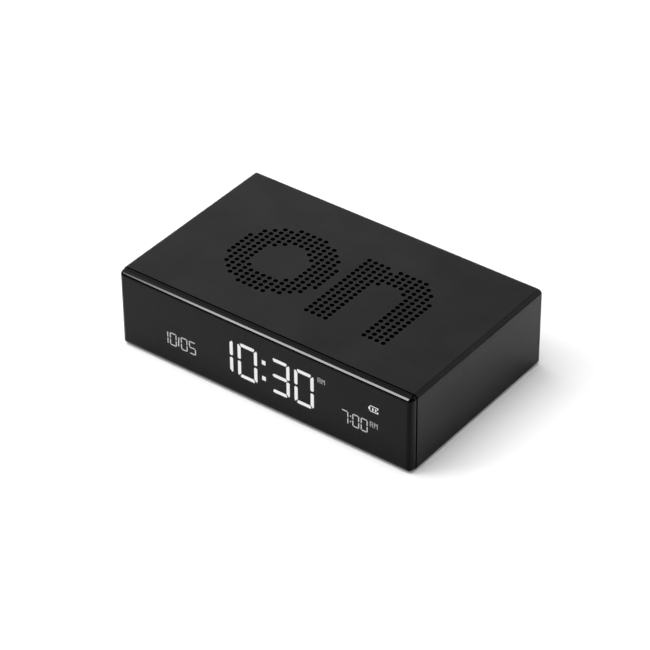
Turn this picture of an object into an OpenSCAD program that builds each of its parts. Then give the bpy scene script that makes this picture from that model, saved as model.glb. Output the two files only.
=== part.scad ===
// Digital alarm clock that is turned over to switch its alarm. A moulded sleeve carries a
// perforated "on" on one broad face and "off" on the other. The display sits behind a glossy
// lens at the front, the setting buttons and the charging socket are at the rear.
// Millimetres. +Z is up, the display faces -Y, the origin is the centre of the underside.

/* [Body] */
// Width of the body, left to right
body_w = 105; // [102:1:125]
// Depth of the body, lens to rear rim
body_d = 64.5; // [64:0.5:80]
// Height of the body
body_h = 26.5; // [25.5:0.5:34]
// Wall of the sleeve
wall = 2.2; // [1.8:0.1:2.6]
// Wall left around the front and rear mouths of the sleeve
mouth_wall = 1.2; // [0.9:0.1:1.4]
// Radius of the four long edges of the sleeve
edge_r = 1.3; // [1:0.1:2.4]
// Radius in the inside corners
inner_r = 0.5; // [0.3:0.1:0.6]
// Depth of the front mouth in which the display frame seats
front_mouth = 1.5; // [1.2:0.1:2]

/* [Lens] */
// Thickness of the lens
lens_t = 2.4; // [2:0.1:3]
// Radius of the rounded front edges of the lens
lens_edge_r = 1.5; // [0.8:0.1:1.6]
// Radius of the lens corners seen from the front
lens_corner_r = 1.2; // [0.6:0.1:2]
// Shadow gap between the lens and the sleeve
lens_gap = 0.4; // [0.3:0.05:0.8]
// Step of the lens in from the sleeve outline
lens_inset = 0.1; // [0.05:0.05:0.3]
// Tape that bonds the lens to the display frame
tape_t = 0.2; // [0.1:0.05:0.25]
// Width of tape left around the display window
tape_margin = 1; // [0.5:0.25:1.5]

/* [Perforated words] */
// Diameter of each hole
hole_d = 1.35; // [0.8:0.05:1.5]
// Hole columns that the full width of the body would take
width_hole_count = 46.5; // [44:0.25:48]
// Hole rows that the full depth of the body would take
depth_hole_count = 31.8; // [30:0.01:33]
// Place of the word across the body
word_x = -0.85; // [-2:0.05:2]
// Place of the word along the body
word_y = -0.3; // [-1:0.05:1]
// Outer radius of the round letter, in hole pitches
ring_out = 7.79; // [7.6:0.01:7.9]
// Inner radius of the round letter, in hole pitches
ring_in = 3.95; // [3.6:0.01:4.4]
// Outer radius of an arch, in hole pitches
arch_out = 5.32; // [5.2:0.01:5.4]
// Inner radius of an arch, in hole pitches
arch_in = 2.6; // [2.3:0.1:2.8]
// Holes across a letter stem
stem_cols = 4; // [3:1:4]
// Grille cloth around the word
cloth_margin = 2; // [1.5:0.1:2.4]
// Thickness of the grille cloth
cloth_t = 0.25; // [0.15:0.05:0.4]

/* [Display] */
// Side of the display panel in from the side of the body
panel_margin = 9.5; // [9:0.25:14]
// Height of the display panel
panel_h = 17; // [16:0.5:17.5]
// Thickness of one glass of the panel, which has two
glass_t = 0.9; // [0.5:0.1:1.1]
// Contact ledge above the rear glass
ledge_h = 1.8; // [1.5:0.1:2.5]
// Lip of the display frame in front of the panel
window_lip = 1.5; // [1:0.25:2.5]
// Thickness of the diffuser sheet
diffuser_t = 0.3; // [0.1:0.1:0.5]
// Thickness of the light guide
guide_t = 2.2; // [2:0.1:3]
// Thickness of the backlight board
lamp_board_t = 1; // [0.6:0.1:1.2]
// Space for the lamps at each end of the light guide
lamp_space = 3; // [2.5:0.25:4]
// Width of a lamp
lamp_w = 1.6; // [1:0.1:1.8]
// Height of a lamp
lamp_h = 3; // [2:0.25:4]
// Depth of a lamp
lamp_d = 1.8; // [1:0.1:1.9]
// Width of the display flex
flex_w = 20; // [10:1:22]
// Thickness of the display flex
flex_t = 0.2; // [0.1:0.05:0.3]
// Bend radius of the display flex
flex_bend = 0.8; // [0.6:0.1:0.9]
// Middle of the display flex in from the side of the board
flex_side = 21.5; // [20:0.5:23.5]
// Place of the display flex behind the wall of the tray
flex_gap = 1; // [0.6:0.1:1]
// Depth of the flex connector
flex_connector_d = 3.4; // [3:0.2:4]
// Height of the flex connector
flex_connector_h = 2; // [1.6:0.1:2.5]
// Flex connector out from each side of the flex
flex_connector_side = 2; // [1.5:0.25:2.5]

/* [Tray] */
// Thickness of the tray floor
tray_t = 1.2; // [1:0.1:1.4]
// Thickness of the side walls of the tray
tray_side_t = 1.2; // [1:0.1:1.5]
// Thickness of the front wall of the tray
tray_front_t = 1.5; // [1.2:0.1:1.8]
// Top of the tray walls below the roof of the sleeve
tray_drop = 2; // [1.5:0.1:2.4]
// Diameter of the screw bosses and posts
boss_d = 4.6; // [4.2:0.1:5]
// Length of the bosses for the frame screws
boss_l = 8; // [7.5:0.25:9]
// Frame screws in from the side of the tray
frame_screw_x = 3; // [2.8:0.1:3.2]
// Frame screws up and down from mid height
frame_screw_z = 6.5; // [6:0.1:6.8]
// Diameter of the vent in the tray floor below the speaker
vent_d = 26; // [16:1:28]
// Thickness of the ribs around the battery
rib_t = 1; // [0.8:0.1:1.2]
// Height of the ribs around the battery
rib_h = 2.5; // [1.5:0.1:3.5]
// Length of the ribs around the battery
rib_l = 8; // [4:1:12]

/* [Screws] */
// Shank diameter of every screw
screw_d = 1.8; // [1.6:0.1:2]
// Head diameter of every screw
head_d = 3.4; // [3.2:0.1:3.6]
// Head height of every screw
head_h = 1.1; // [0.9:0.1:1.2]
// Length of every screw under its head
screw_l = 6.5; // [6:0.25:7]
// Width of the cross recess
recess_w = 0.5; // [0.4:0.1:0.6]
// Span of the cross recess
recess_l = 2; // [1.6:0.1:2.2]
// Depth of the cross recess
recess_h = 0.6; // [0.4:0.1:0.7]

/* [Rear cover] */
// Thickness of the rear cover
cover_t = 2; // [1.6:0.1:2.4]
// Rear cover in from the rear rim of the sleeve
cover_recess = 0.8; // [0.6:0.1:1.2]
// Length of the snap arms
snap_l = 8; // [6:0.5:10]
// Width of the snap arms
snap_w = 5; // [3:0.5:6]
// Thickness of the snap arms
snap_t = 1.2; // [0.9:0.1:1.4]
// Catch of the snap arms in the tray wall
snap_catch = 0.9; // [0.6:0.1:1]
// Length of the snap barbs
barb_l = 2; // [1.5:0.25:2.5]

/* [Buttons] */
// Width of a button
button_w = 9; // [8:0.5:10]
// Height of a button
button_h = 4.4; // [4:0.2:5]
// Outer buttons in from the side of the body
button_side = 19.5; // [18.5:0.5:20.5]
// Distance between the buttons of a pair
button_step = 14; // [12.5:0.5:15]
// Buttons proud of the rear cover
button_proud = 0.5; // [0.3:0.05:0.55]
// Flange that keeps a button in the cover
button_flange = 0.8; // [0.6:0.1:1]
// Thickness of that flange
button_flange_t = 0.8; // [0.6:0.1:1]
// Travel of a button
button_travel = 0.5; // [0.25:0.05:0.6]
// Gap around a button in the cover
button_gap = 0.15; // [0.1:0.01:0.2]

/* [Switches] */
// Width of a tact switch
switch_w = 6; // [5:0.25:7]
// Depth of a tact switch
switch_d = 4; // [3.6:0.1:4.5]
// Height of a tact switch
switch_h = 3.4; // [3.2:0.1:3.8]
// Front of a tact switch in from the rear cover
switch_in = 3.5; // [3.3:0.1:4]
// Diameter of a switch plunger
plunger_d = 2.4; // [1.8:0.1:2.6]
// Plunger out of its switch
plunger_out = 1.4; // [1:0.1:1.6]
// Plunger inside its switch
plunger_in = 1.6; // [1:0.1:2]
// Running clearance of a plunger in its bore
plunger_gap = 0.05; // [0.03:0.01:0.08]

/* [Charging socket] */
// Outside width of the socket shell
socket_w = 8.94; // [8.9:0.02:9.1]
// Outside height of the socket shell
socket_h = 3.26; // [3.2:0.02:3.4]
// Length of the socket
socket_l = 7.35; // [7:0.05:8.5]
// Sheet thickness of the socket shell
socket_t = 0.3; // [0.2:0.05:0.35]
// Mouth of the socket in from the face of the cover
socket_in = 0.5; // [0.3:0.1:0.8]
// Width of the contact tongue
tongue_w = 6.7; // [6.4:0.1:6.8]
// Thickness of the contact tongue
tongue_t = 0.7; // [0.6:0.05:0.8]
// Tongue in from the mouth of the socket
tongue_in = 0.8; // [0.6:0.1:1.2]
// Depth of the block behind the tongue
tongue_block = 2.2; // [1.6:0.1:2.6]
// Lead-in around the socket in the cover
lead_in = 1.1; // [0.8:0.1:1.4]
// Depth of that lead-in
lead_in_d = 0.5; // [0.3:0.1:0.7]

/* [Main board] */
// Thickness of the board
board_t = 1.6; // [1.2:0.1:1.8]
// Board in from the side walls of the tray
board_side = 3.3; // [3.1:0.1:4]
// Board behind the front wall of the tray
board_front = 2.3; // [2:0.1:2.6]
// Board screws in from the sides of the board
board_screw_x = 3.5; // [3.2:0.1:3.8]
// Board screws in from the front edge of the board
board_screw_front = 3.5; // [3.2:0.1:4]
// Board screws in from the rear edge of the board
board_screw_rear = 10; // [9:0.5:11]
// Corner radius of the board
board_r = 1; // [0.5:0.25:2]
// Side of the controller chip
chip_w = 10; // [7:0.5:10]
// Height of the controller chip
chip_h = 1.5; // [1:0.1:2]
// Controller chip in from the side of the board
chip_side = 23; // [22:0.5:24]
// Controller chip and crystal in from the front edge of the board
chip_front = 15.75; // [14:0.25:17]
// Side of a power chip
power_w = 4; // [3:0.25:5]
// Height of a power chip
power_h = 1.4; // [1:0.1:1.8]
// Power chips out from the middle
power_x = 8; // [7:0.25:9]
// Power chips in from the rear edge of the board
power_rear = 4.5; // [3.5:0.25:5]
// Diameter of the crystal
crystal_d = 2; // [1.5:0.1:2.4]
// Length of the crystal
crystal_l = 6; // [5:0.25:7]
// Crystal in from the side of the board
crystal_side = 14.5; // [12:0.25:16]
// Diameter of a capacitor
cap_d = 4; // [3:0.25:5]
// Height of a capacitor
cap_h = 5.4; // [4:0.2:7]
// Capacitors in from the side of the board
cap_side = 33.5; // [33:0.25:34]
// First capacitor behind the speaker connector
cap_behind = 3; // [1:0.25:3.5]
// Distance between the capacitors
cap_step = 5; // [4.5:0.25:5.5]
// Width of a lead connector
connector_w = 6; // [5:0.25:6.5]
// Depth of a lead connector
connector_d = 4.2; // [3.6:0.1:4.4]
// Height of a lead connector
connector_h = 4; // [3.5:0.1:5]
// Battery connector in from the side of the board
battery_connector_side = 24.5; // [23.5:0.25:25]
// Speaker connector out from the terminal tab of the speaker
speaker_connector_out = 5; // [4:0.25:6]

/* [Tilt switch] */
// Diameter of the tilt switch
tilt_d = 5.2; // [4.8:0.1:5.6]
// Wall of its can
tilt_wall = 0.5; // [0.3:0.05:0.6]
// Height of its base
tilt_base_h = 1.2; // [0.8:0.1:1.6]
// Height of its can
tilt_h = 7; // [6:0.25:8]
// Clearance of the ball in the can
tilt_gap = 0.15; // [0.1:0.01:0.2]
// Tilt switch in from the side of the board
tilt_side = 16.5; // [14:0.25:17]
// Tilt switch in from the front edge of the board
tilt_front = 27.75; // [26:0.25:28]

/* [Touch pad] */
// Width of the touch pad below the roof
pad_w = 10; // [8:0.5:11]
// Length of the touch pad
pad_l = 24; // [10:1:28]
// Thickness of the touch pad
pad_t = 0.1; // [0.08:0.02:0.2]
// Touch pad in from the side of the tray
pad_side = 8.7; // [8.4:0.1:9]
// Outside diameter of the touch spring
spring_d = 6; // [4:0.5:7]
// Wire of the touch spring
spring_wire = 0.5; // [0.3:0.05:0.6]
// Turns of the touch spring
spring_turns = 5; // [3:1:7]

/* [Battery] */
// Battery cell in from the side of the board
cell_side = 9.5; // [9.2:0.1:12]
// Battery cell behind the front wall of the tray
cell_front = 5; // [3:0.5:8]
// Thickness of the battery cell
cell_t = 4.6; // [3.5:0.1:4.8]
// Radius of the long edges of the cell
cell_r = 1.2; // [0.6:0.1:1.6]
// Thickness of the battery tape
cell_tape_t = 0.4; // [0.2:0.1:0.6]
// Wire diameter of the leads
wire_d = 1.1; // [0.8:0.1:1.2]
// Distance between the two wires of a lead
wire_gap = 2; // [1.6:0.1:2.4]
// Bend radius of the wires
wire_bend = 1.2; // [1:0.1:1.4]
// Wire slot behind the battery cell
wire_slot = 3; // [2.6:0.1:3.2]

/* [Speaker] */
// Thickness of the speaker rim
rim_t = 1; // [0.8:0.1:1.2]
// Width of the rim
rim_w = 2.8; // [2.4:0.1:3]
// Thickness of the foam gasket
gasket_t = 1.6; // [1.5:0.1:2]
// Sheet thickness of the basket
basket_t = 0.7; // [0.5:0.1:0.8]
// Depth of the basket below the rim top
basket_h = 5; // [4.6:0.1:5.2]
// Windows in the basket
basket_windows = 4; // [3:1:4]
// Width of a basket window
basket_window_w = 8; // [4:0.5:8]
// Screw ears out from the rim
ear_out = 2.2; // [2.1:0.1:2.4]
// Outside radius of the magnet yoke
yoke_r = 8.6; // [8.4:0.1:9]
// Wall of the magnet yoke
yoke_wall = 1.4; // [1.2:0.1:1.5]
// Height of the magnet yoke
yoke_h = 4; // [3.8:0.1:4.4]
// Floor of the magnet yoke
yoke_floor = 1; // [0.8:0.1:1.2]
// Radius of the magnet
magnet_r = 5.3; // [4.8:0.1:5.4]
// Height of the magnet
magnet_h = 1.8; // [1.4:0.1:1.8]
// Height of the pole plate
pole_h = 1; // [0.8:0.1:1.1]
// Inside radius of the voice coil
coil_r = 6.1; // [6:0.05:6.2]
// Thickness of the voice coil
coil_t = 0.4; // [0.3:0.05:0.5]
// Sheet thickness of the cone and its surround
cone_t = 0.3; // [0.2:0.05:0.35]
// Depth of the cone
cone_h = 3; // [2.4:0.1:3.1]
// Rise of the dust cap
cap_rise = 1.4; // [0.8:0.1:1.6]
// Radius of the surround roll
roll_r = 1; // [0.8:0.05:1.05]
// Width of the glued lip of the surround
lip_w = 2.4; // [1.6:0.1:2.4]
// Width of the terminal tab on the basket
tab_w = 5; // [4.5:0.5:6]
// Length of that tab out from the rim
tab_l = 1; // [0.8:0.1:1.5]
// Thickness of that tab
tab_t = 1; // [0.8:0.1:1]

/* [Fits] */
// Gap between pieces that are put together face to face
fit = 0.1; // [0.05:0.01:0.15]
// Gap between pieces that slide into one another
slide = 0.3; // [0.2:0.05:0.4]
// Clearance of a screw shank in its hole
screw_gap = 0.05; // [0.03:0.01:0.1]
// Clearance of a screw or post in a through hole
through_gap = 0.3; // [0.2:0.05:0.4]
// Room left in front of the switches
works_gap = 0.4; // [0.3:0.05:0.6]

/* [Hidden] */
$fn = 32;

// Overlap that keeps a cut clear of the face it leaves through
cut = 0.5;
// Steps in the bend of a wire or flex
bend_steps = 6;
// Facets of the dust cap
dust_cap_fn = 64;
pitch_x = body_w / width_hole_count;
pitch_y = body_d / depth_hole_count;
mid_z = body_h / 2;
front_y = -body_d / 2;
rear_y = body_d / 2;

// Sleeve and lens, front to rear
lens_back = front_y + lens_t;
sleeve_front = lens_back + lens_gap;
frame_front = lens_back + tape_t;
frame_shoulder = sleeve_front + front_mouth;
cover_face = rear_y - cover_recess;
cover_back = cover_face - cover_t;
cavity_w = body_w - 2 * wall;
cavity_h = body_h - 2 * wall;
mouth_w = body_w - 2 * mouth_wall;
mouth_h = body_h - 2 * mouth_wall;
mouth_r = max(edge_r - mouth_wall, inner_r);
floor_z = wall;
roof_z = body_h - wall;

// Display stack, front to rear
panel_w = body_w - 2 * panel_margin;
rear_glass_h = panel_h - ledge_h;
window_w = panel_w - 2 * window_lip;
window_h = panel_h - 2 * window_lip;
diffuser_y = frame_shoulder + 2 * glass_t;
guide_y = diffuser_y + diffuser_t;
lamp_board_y = guide_y + guide_t;
stack_back = lamp_board_y + lamp_board_t;
stack_z = mid_z - panel_h / 2;
frame_w = cavity_w - 2 * slide;
frame_h = cavity_h - 2 * (cloth_t + slide);

// Tray
tray_hw = cavity_w / 2 - slide;
tray_in = tray_hw - tray_side_t;
tray_front = stack_back + fit;
tray_wall_back = tray_front + tray_front_t;
tray_rear = cover_back - slide;
tray_bottom = floor_z + cloth_t + fit;
tray_floor = tray_bottom + tray_t;
tray_top = roof_z - tray_drop;
screw_x = tray_hw - frame_screw_x;
pilot_r = screw_d / 2 + screw_gap;

// Buttons and switches
button_outer = body_w / 2 - button_side;
button_inner = button_outer - button_step;
button_x = [-button_outer, -button_inner, button_inner, button_outer];
flange_back = cover_back - fit - button_flange_t;
switch_front = cover_back - switch_in;
switch_back = switch_front - switch_d;

// Board
board_top = mid_z - socket_h / 2;
board_bottom = board_top - board_t;
board_hw = tray_in - board_side;
board_y0 = tray_wall_back + board_front;
board_y1 = flange_back - button_travel - slide;
board_screw_at = [for (side = [-1, 1]) for (y = [board_y0 + board_screw_front,
    board_y1 - board_screw_rear]) [side * (board_hw - board_screw_x), y]];

// Letters on the hole grid: columns, rows, and the middles of their arcs
o_cols = 15;
n_cols = 13;
f_cols = 9;
letter_rows = 16;
f_rise = 6;
f_stem = 2;
o_mid = [(o_cols - 1) / 2, (letter_rows - 1) / 2];
o_hollow = o_mid + [0, 0.15];
n_arch = [7, 4.9];
n_hollow = [6, 6];
f_hook = [6.9, -0.9];
f_hollow = [8.2, 0];
on_cols = o_cols + 1 + n_cols;
off_cols = o_cols + 2 + 2 * f_cols;

// Speaker, from the roof down
speaker_x = word_x + ((o_cols - 1) - (on_cols - 1)) / 2 * pitch_x;
lip_z = roof_z - cloth_t - gasket_t;
rim_z = lip_z - cone_t;
ear_r = switch_back - works_gap - boss_d / 2 - word_y;
speaker_r = ear_r - ear_out;
rim_in = speaker_r - rim_w;
ear_angles = [90, 210, 330];
yoke_top = rim_z - basket_h;
yoke_in = yoke_r - yoke_wall;
roll_mid = rim_in - roll_r;
cone_r = roll_mid - roll_r;
ear_at = [for (a = ear_angles) [speaker_x + ear_r * cos(a), word_y + ear_r * sin(a)]];
tab_x = speaker_x + speaker_r + tab_l;

// Touch pad and battery
pad_x = tray_hw - pad_side;
wire_y = switch_back - works_gap - through_gap - wire_d / 2;
cell_back = wire_y - wire_slot;
cell_l = cell_back - tray_wall_back - cell_front;
cell_y = cell_back - cell_l / 2;
cell_right = board_hw - cell_side;
cell_left = ear_at[len(ear_at) - 1][0] + boss_d / 2 + works_gap + rib_t + slide;
cell_w = cell_right - cell_left;
cell_x = (cell_left + cell_right) / 2;
cell_z = tray_floor + cell_tape_t;

// Pieces on the board
flex_x = board_hw - flex_side;
chip_at = [board_hw - chip_side, board_y0 + chip_front];
crystal_at = [board_hw - crystal_side, board_y0 + chip_front];
power_at = [for (side = [-1, 1]) [side * power_x, board_y1 - power_rear]];
tilt_at = [board_hw - tilt_side, board_y0 + tilt_front];
connector = [connector_w, connector_d, connector_h];
battery_connector_at = [board_hw - battery_connector_side,
    wire_y - wire_bend - fit - connector_d / 2];
speaker_connector_at = [tab_x + speaker_connector_out, word_y];
cap_y = speaker_connector_at[1] + connector_d / 2 + cap_behind + cap_d / 2;
cap_at = [for (i = [0, 1]) [board_hw - cap_side, cap_y + i * cap_step]];

// Rectangle with round corners, centred
module round_rect(w, h, r) {
    square([w - 2 * r, h], center = true);
    square([w, h - 2 * r], center = true);
    for (x = [-1, 1], y = [-1, 1]) translate([x * (w / 2 - r), y * (h / 2 - r)]) circle(r);
}

// Slot with round ends, centred
module obround(w, h) {
    square([w - h, h], center = true);
    for (x = [-1, 1]) translate([x * (w - h) / 2, 0]) circle(h / 2);
}

// Profile in X and Z, drawn out from one Y to another
module along_y(y0, y1) {
    translate([0, y1, 0]) rotate([90, 0, 0]) linear_extrude(y1 - y0) children();
}

// Block given by its ranges
module block(x, y, z) {
    translate([x[0], y[0], z[0]]) cube([x[1] - x[0], y[1] - y[0], z[1] - z[0]]);
}

// Unit vector
function unit(v) = v / norm(v);

// Points on the arc that rounds one corner of a path
function corner_arc(before, corner, after, r, steps) =
    let (u = unit(before - corner), v = unit(after - corner), half = acos(u * v) / 2)
    let (centre = corner + unit(u + v) * r / sin(half))
    let (a = corner + u * r / tan(half) - centre, b = corner + v * r / tan(half) - centre)
    let (turn = 180 - 2 * half)
    [for (i = [0:steps]) let (t = i / steps)
        centre + (sin((1 - t) * turn) * a + sin(t * turn) * b) / sin(turn)];

// Path with its corners rounded
function round_path(p, r, steps) = [p[0],
    for (i = [1:len(p) - 2]) each corner_arc(p[i - 1], p[i], p[i + 1], r, steps),
    p[len(p) - 1]];

// Direction of a path at one of its points
function heading(p, i) = unit(p[min(i + 1, len(p) - 1)] - p[max(i - 1, 0)]);

// Strip of even thickness along a flat path
module strip(p, t) {
    left = [for (i = [0:len(p) - 1]) let (d = heading(p, i)) p[i] + [-d[1], d[0]] * t / 2];
    right = [for (i = [len(p) - 1:-1:0]) let (d = heading(p, i)) p[i] - [-d[1], d[0]] * t / 2];
    polygon(concat(left, right));
}

// Faces that close a row of rings into a tube
function tube_faces(rings, sides) = concat(
    [[for (k = [sides - 1:-1:0]) k]],
    [for (i = [0:rings - 2], k = [0:sides - 1]) let (n = (k + 1) % sides)
        [i * sides + k, i * sides + n, (i + 1) * sides + n, (i + 1) * sides + k]],
    [[for (k = [0:sides - 1]) (rings - 1) * sides + k]]);

// Round wire along a flat path in X and Z
module wire(p, d, sides = 10) {
    points = [for (i = [0:len(p) - 1]) let (h = heading(p, i))
        for (k = [0:sides - 1]) let (a = 360 * k / sides)
            [p[i][0] - h[1] * cos(a) * d / 2, sin(a) * d / 2, p[i][1] + h[0] * cos(a) * d / 2]];
    polyhedron(points, tube_faces(len(p), sides));
}

// Screw with its head on the plane z = 0 and its shank below
module screw() {
    difference() {
        cylinder(h = head_h, r = head_d / 2);
        for (turn = [0, 90]) rotate(turn) translate([0, 0, head_h])
            cube([recess_l, recess_w, 2 * recess_h], center = true);
    }
    translate([0, 0, -screw_l]) cylinder(h = screw_l, r = screw_d / 2);
}

// True where a disc on the hole grid covers a hole
function in_disc(c, r, middle, rad) = norm([c, r] - middle) <= rad;

// The letters on the hole grid, column to the right and row downwards
function in_o(c, r) = in_disc(c, r, o_mid, ring_out) && !in_disc(c, r, o_hollow, ring_in);
function in_n(c, r) = c < stem_cols || (r >= stem_cols && c >= n_cols - stem_cols)
    || (r <= stem_cols && in_disc(c, r, n_arch, arch_out) && !in_disc(c, r, n_hollow, arch_in));
function in_f(c, r) = (r >= 0 && c >= f_stem && c < f_stem + stem_cols) || (r >= 0 && r < stem_cols)
    || (r < 0 && in_disc(c, r, f_hook, arch_out) && !in_disc(c, r, f_hollow, arch_in));

// Grid places of the holes of each letter
o_holes = [for (c = [0:o_cols - 1], r = [0:letter_rows - 1]) if (in_o(c, r)) [c, r]];
n_holes = [for (c = [0:n_cols - 1], r = [0:letter_rows - 1]) if (in_n(c, r)) [c, r]];
f_holes = [for (c = [0:f_cols - 1], r = [-f_rise:letter_rows - 1]) if (in_f(c, r)) [c, r]];

// Grid places of the holes of both words
on_holes = concat(o_holes, [for (h = n_holes) h + [o_cols + 1, 0]]);
off_holes = concat(o_holes, [for (h = f_holes) h + [o_cols + 1, 0]],
    [for (h = f_holes) h + [o_cols + f_cols + 2, 0]]);

// Place of a grid hole on its face, measured from the middle of the word
function on_place(h) = [(h[0] - (on_cols - 1) / 2) * pitch_x,
    ((letter_rows - 1) / 2 - h[1]) * pitch_y];
function off_place(h) = [(h[0] - (off_cols - 1) / 2) * pitch_x,
    ((letter_rows - 1 - f_rise) / 2 - h[1]) * pitch_y];

module housing_sleeve() {
    color([0.1, 0.1, 0.11]) difference() {
        translate([0, 0, mid_z]) along_y(sleeve_front, rear_y) round_rect(body_w, body_h, edge_r);
        translate([0, 0, mid_z]) along_y(sleeve_front - cut, rear_y + cut)
            round_rect(cavity_w, cavity_h, inner_r);
        translate([0, 0, mid_z]) along_y(sleeve_front - cut, frame_shoulder)
            round_rect(mouth_w, mouth_h, mouth_r);
        translate([0, 0, mid_z]) along_y(cover_back, rear_y + cut)
            round_rect(mouth_w, mouth_h, mouth_r);
        for (h = on_holes) translate([word_x, word_y, roof_z - cut] + concat(on_place(h), 0))
            cylinder(h = wall + 2 * cut, r = hole_d / 2);
        for (h = off_holes) translate([-word_x - off_place(h)[0], word_y + off_place(h)[1], -cut])
            cylinder(h = wall + 2 * cut, r = hole_d / 2);
    }
}

// Section of the lens across a pair of its edges, flat behind and pillowed in front
module lens_section(half) {
    flat = half - lens_edge_r;
    translate([-half, front_y + lens_edge_r]) square([2 * half, lens_t - lens_edge_r]);
    translate([-flat, front_y]) square([2 * flat, lens_t]);
    for (x = [-flat, flat]) translate([x, front_y + lens_edge_r]) circle(lens_edge_r);
}

module front_lens() {
    w = body_w / 2 - lens_inset;
    h = body_h / 2 - lens_inset;
    color([0.02, 0.02, 0.025]) translate([0, 0, mid_z]) intersection() {
        along_y(front_y - cut, lens_back) round_rect(2 * w, 2 * h, lens_corner_r);
        linear_extrude(2 * h + 2 * cut, center = true) lens_section(w);
        rotate([0, 90, 0]) linear_extrude(2 * w + 2 * cut, center = true) lens_section(h);
    }
}

module lens_tape() {
    color([0.12, 0.12, 0.12]) translate([0, 0, mid_z]) along_y(lens_back, frame_front)
        difference() {
            round_rect(frame_w, frame_h, inner_r);
            square([window_w + 2 * tape_margin, window_h + 2 * tape_margin], center = true);
        }
}

// Places of the four frame screws in X and Z
module frame_screw_places() {
    for (x = [-screw_x, screw_x], z = [mid_z - frame_screw_z, mid_z + frame_screw_z])
        translate([x, 0, z]) children();
}

module display_frame() {
    color([0.15, 0.15, 0.16]) difference() {
        union() {
            translate([0, 0, mid_z]) along_y(frame_front, frame_shoulder)
                round_rect(mouth_w - 2 * fit, mouth_h - 2 * fit, inner_r);
            translate([0, 0, mid_z]) along_y(frame_shoulder, stack_back)
                round_rect(frame_w, frame_h, inner_r);
        }
        translate([0, 0, mid_z]) along_y(frame_front - cut, frame_shoulder + cut)
            square([window_w, window_h], center = true);
        translate([0, 0, mid_z]) along_y(frame_shoulder, stack_back + cut)
            square([panel_w + 2 * fit, panel_h + 2 * fit], center = true);
        frame_screw_places() along_y(frame_front - cut, stack_back + cut)
            circle(screw_d / 2 + through_gap);
        frame_screw_places() along_y(frame_front - cut, frame_front + head_h + fit)
            circle(head_d / 2 + through_gap);
    }
}

module frame_screws() {
    color([0.6, 0.6, 0.62]) frame_screw_places()
        translate([0, frame_front + head_h + fit, 0]) rotate([90, 0, 0]) screw();
}

module rear_cover() {
    arm_x = tray_in - fit;
    color([0.1, 0.1, 0.11]) {
        difference() {
            translate([0, 0, mid_z]) along_y(cover_back, cover_face)
                round_rect(mouth_w - 2 * fit, mouth_h - 2 * fit, inner_r);
            for (x = button_x) translate([x, 0, mid_z]) along_y(cover_back - cut, cover_face + cut)
                obround(button_w + 2 * button_gap, button_h + 2 * button_gap);
            translate([0, 0, mid_z]) along_y(cover_back - cut, cover_face + cut)
                obround(socket_w + 2 * button_gap, socket_h + 2 * button_gap);
            translate([0, 0, mid_z]) along_y(cover_face - lead_in_d, cover_face + cut)
                obround(socket_w + 2 * lead_in, socket_h + 2 * lead_in);
        }
        for (side = [0, 1]) mirror([side, 0, 0]) {
            block([arm_x - snap_t, arm_x], [cover_back - snap_l, cover_back],
                [mid_z - snap_w / 2, mid_z + snap_w / 2]);
            block([arm_x, arm_x + snap_catch], [cover_back - snap_l, cover_back - snap_l + barb_l],
                [mid_z - snap_w / 2, mid_z + snap_w / 2]);
        }
    }
}

module upper_grille_cloth() {
    w = (on_cols - 1) * pitch_x + hole_d + 2 * cloth_margin;
    d = (letter_rows - 1) * pitch_y + hole_d + 2 * cloth_margin;
    color([0.03, 0.03, 0.03]) translate([word_x - w / 2, word_y - d / 2, roof_z - cloth_t])
        cube([w, d, cloth_t]);
}

module lower_grille_cloth() {
    w = (off_cols - 1) * pitch_x + hole_d + 2 * cloth_margin;
    d = (letter_rows + f_rise - 1) * pitch_y + hole_d + 2 * cloth_margin;
    color([0.03, 0.03, 0.03]) translate([-word_x - w / 2, word_y - d / 2, floor_z])
        cube([w, d, cloth_t]);
}

// Rib around one corner of the battery cell
module cell_rib() {
    side = cell_w / 2 + slide;
    end = cell_l / 2 + slide;
    block([side - rib_l, side + rib_t], [end, end + rib_t], [0, rib_h]);
    block([side, side + rib_t], [end - rib_l, end], [0, rib_h]);
}

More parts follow.
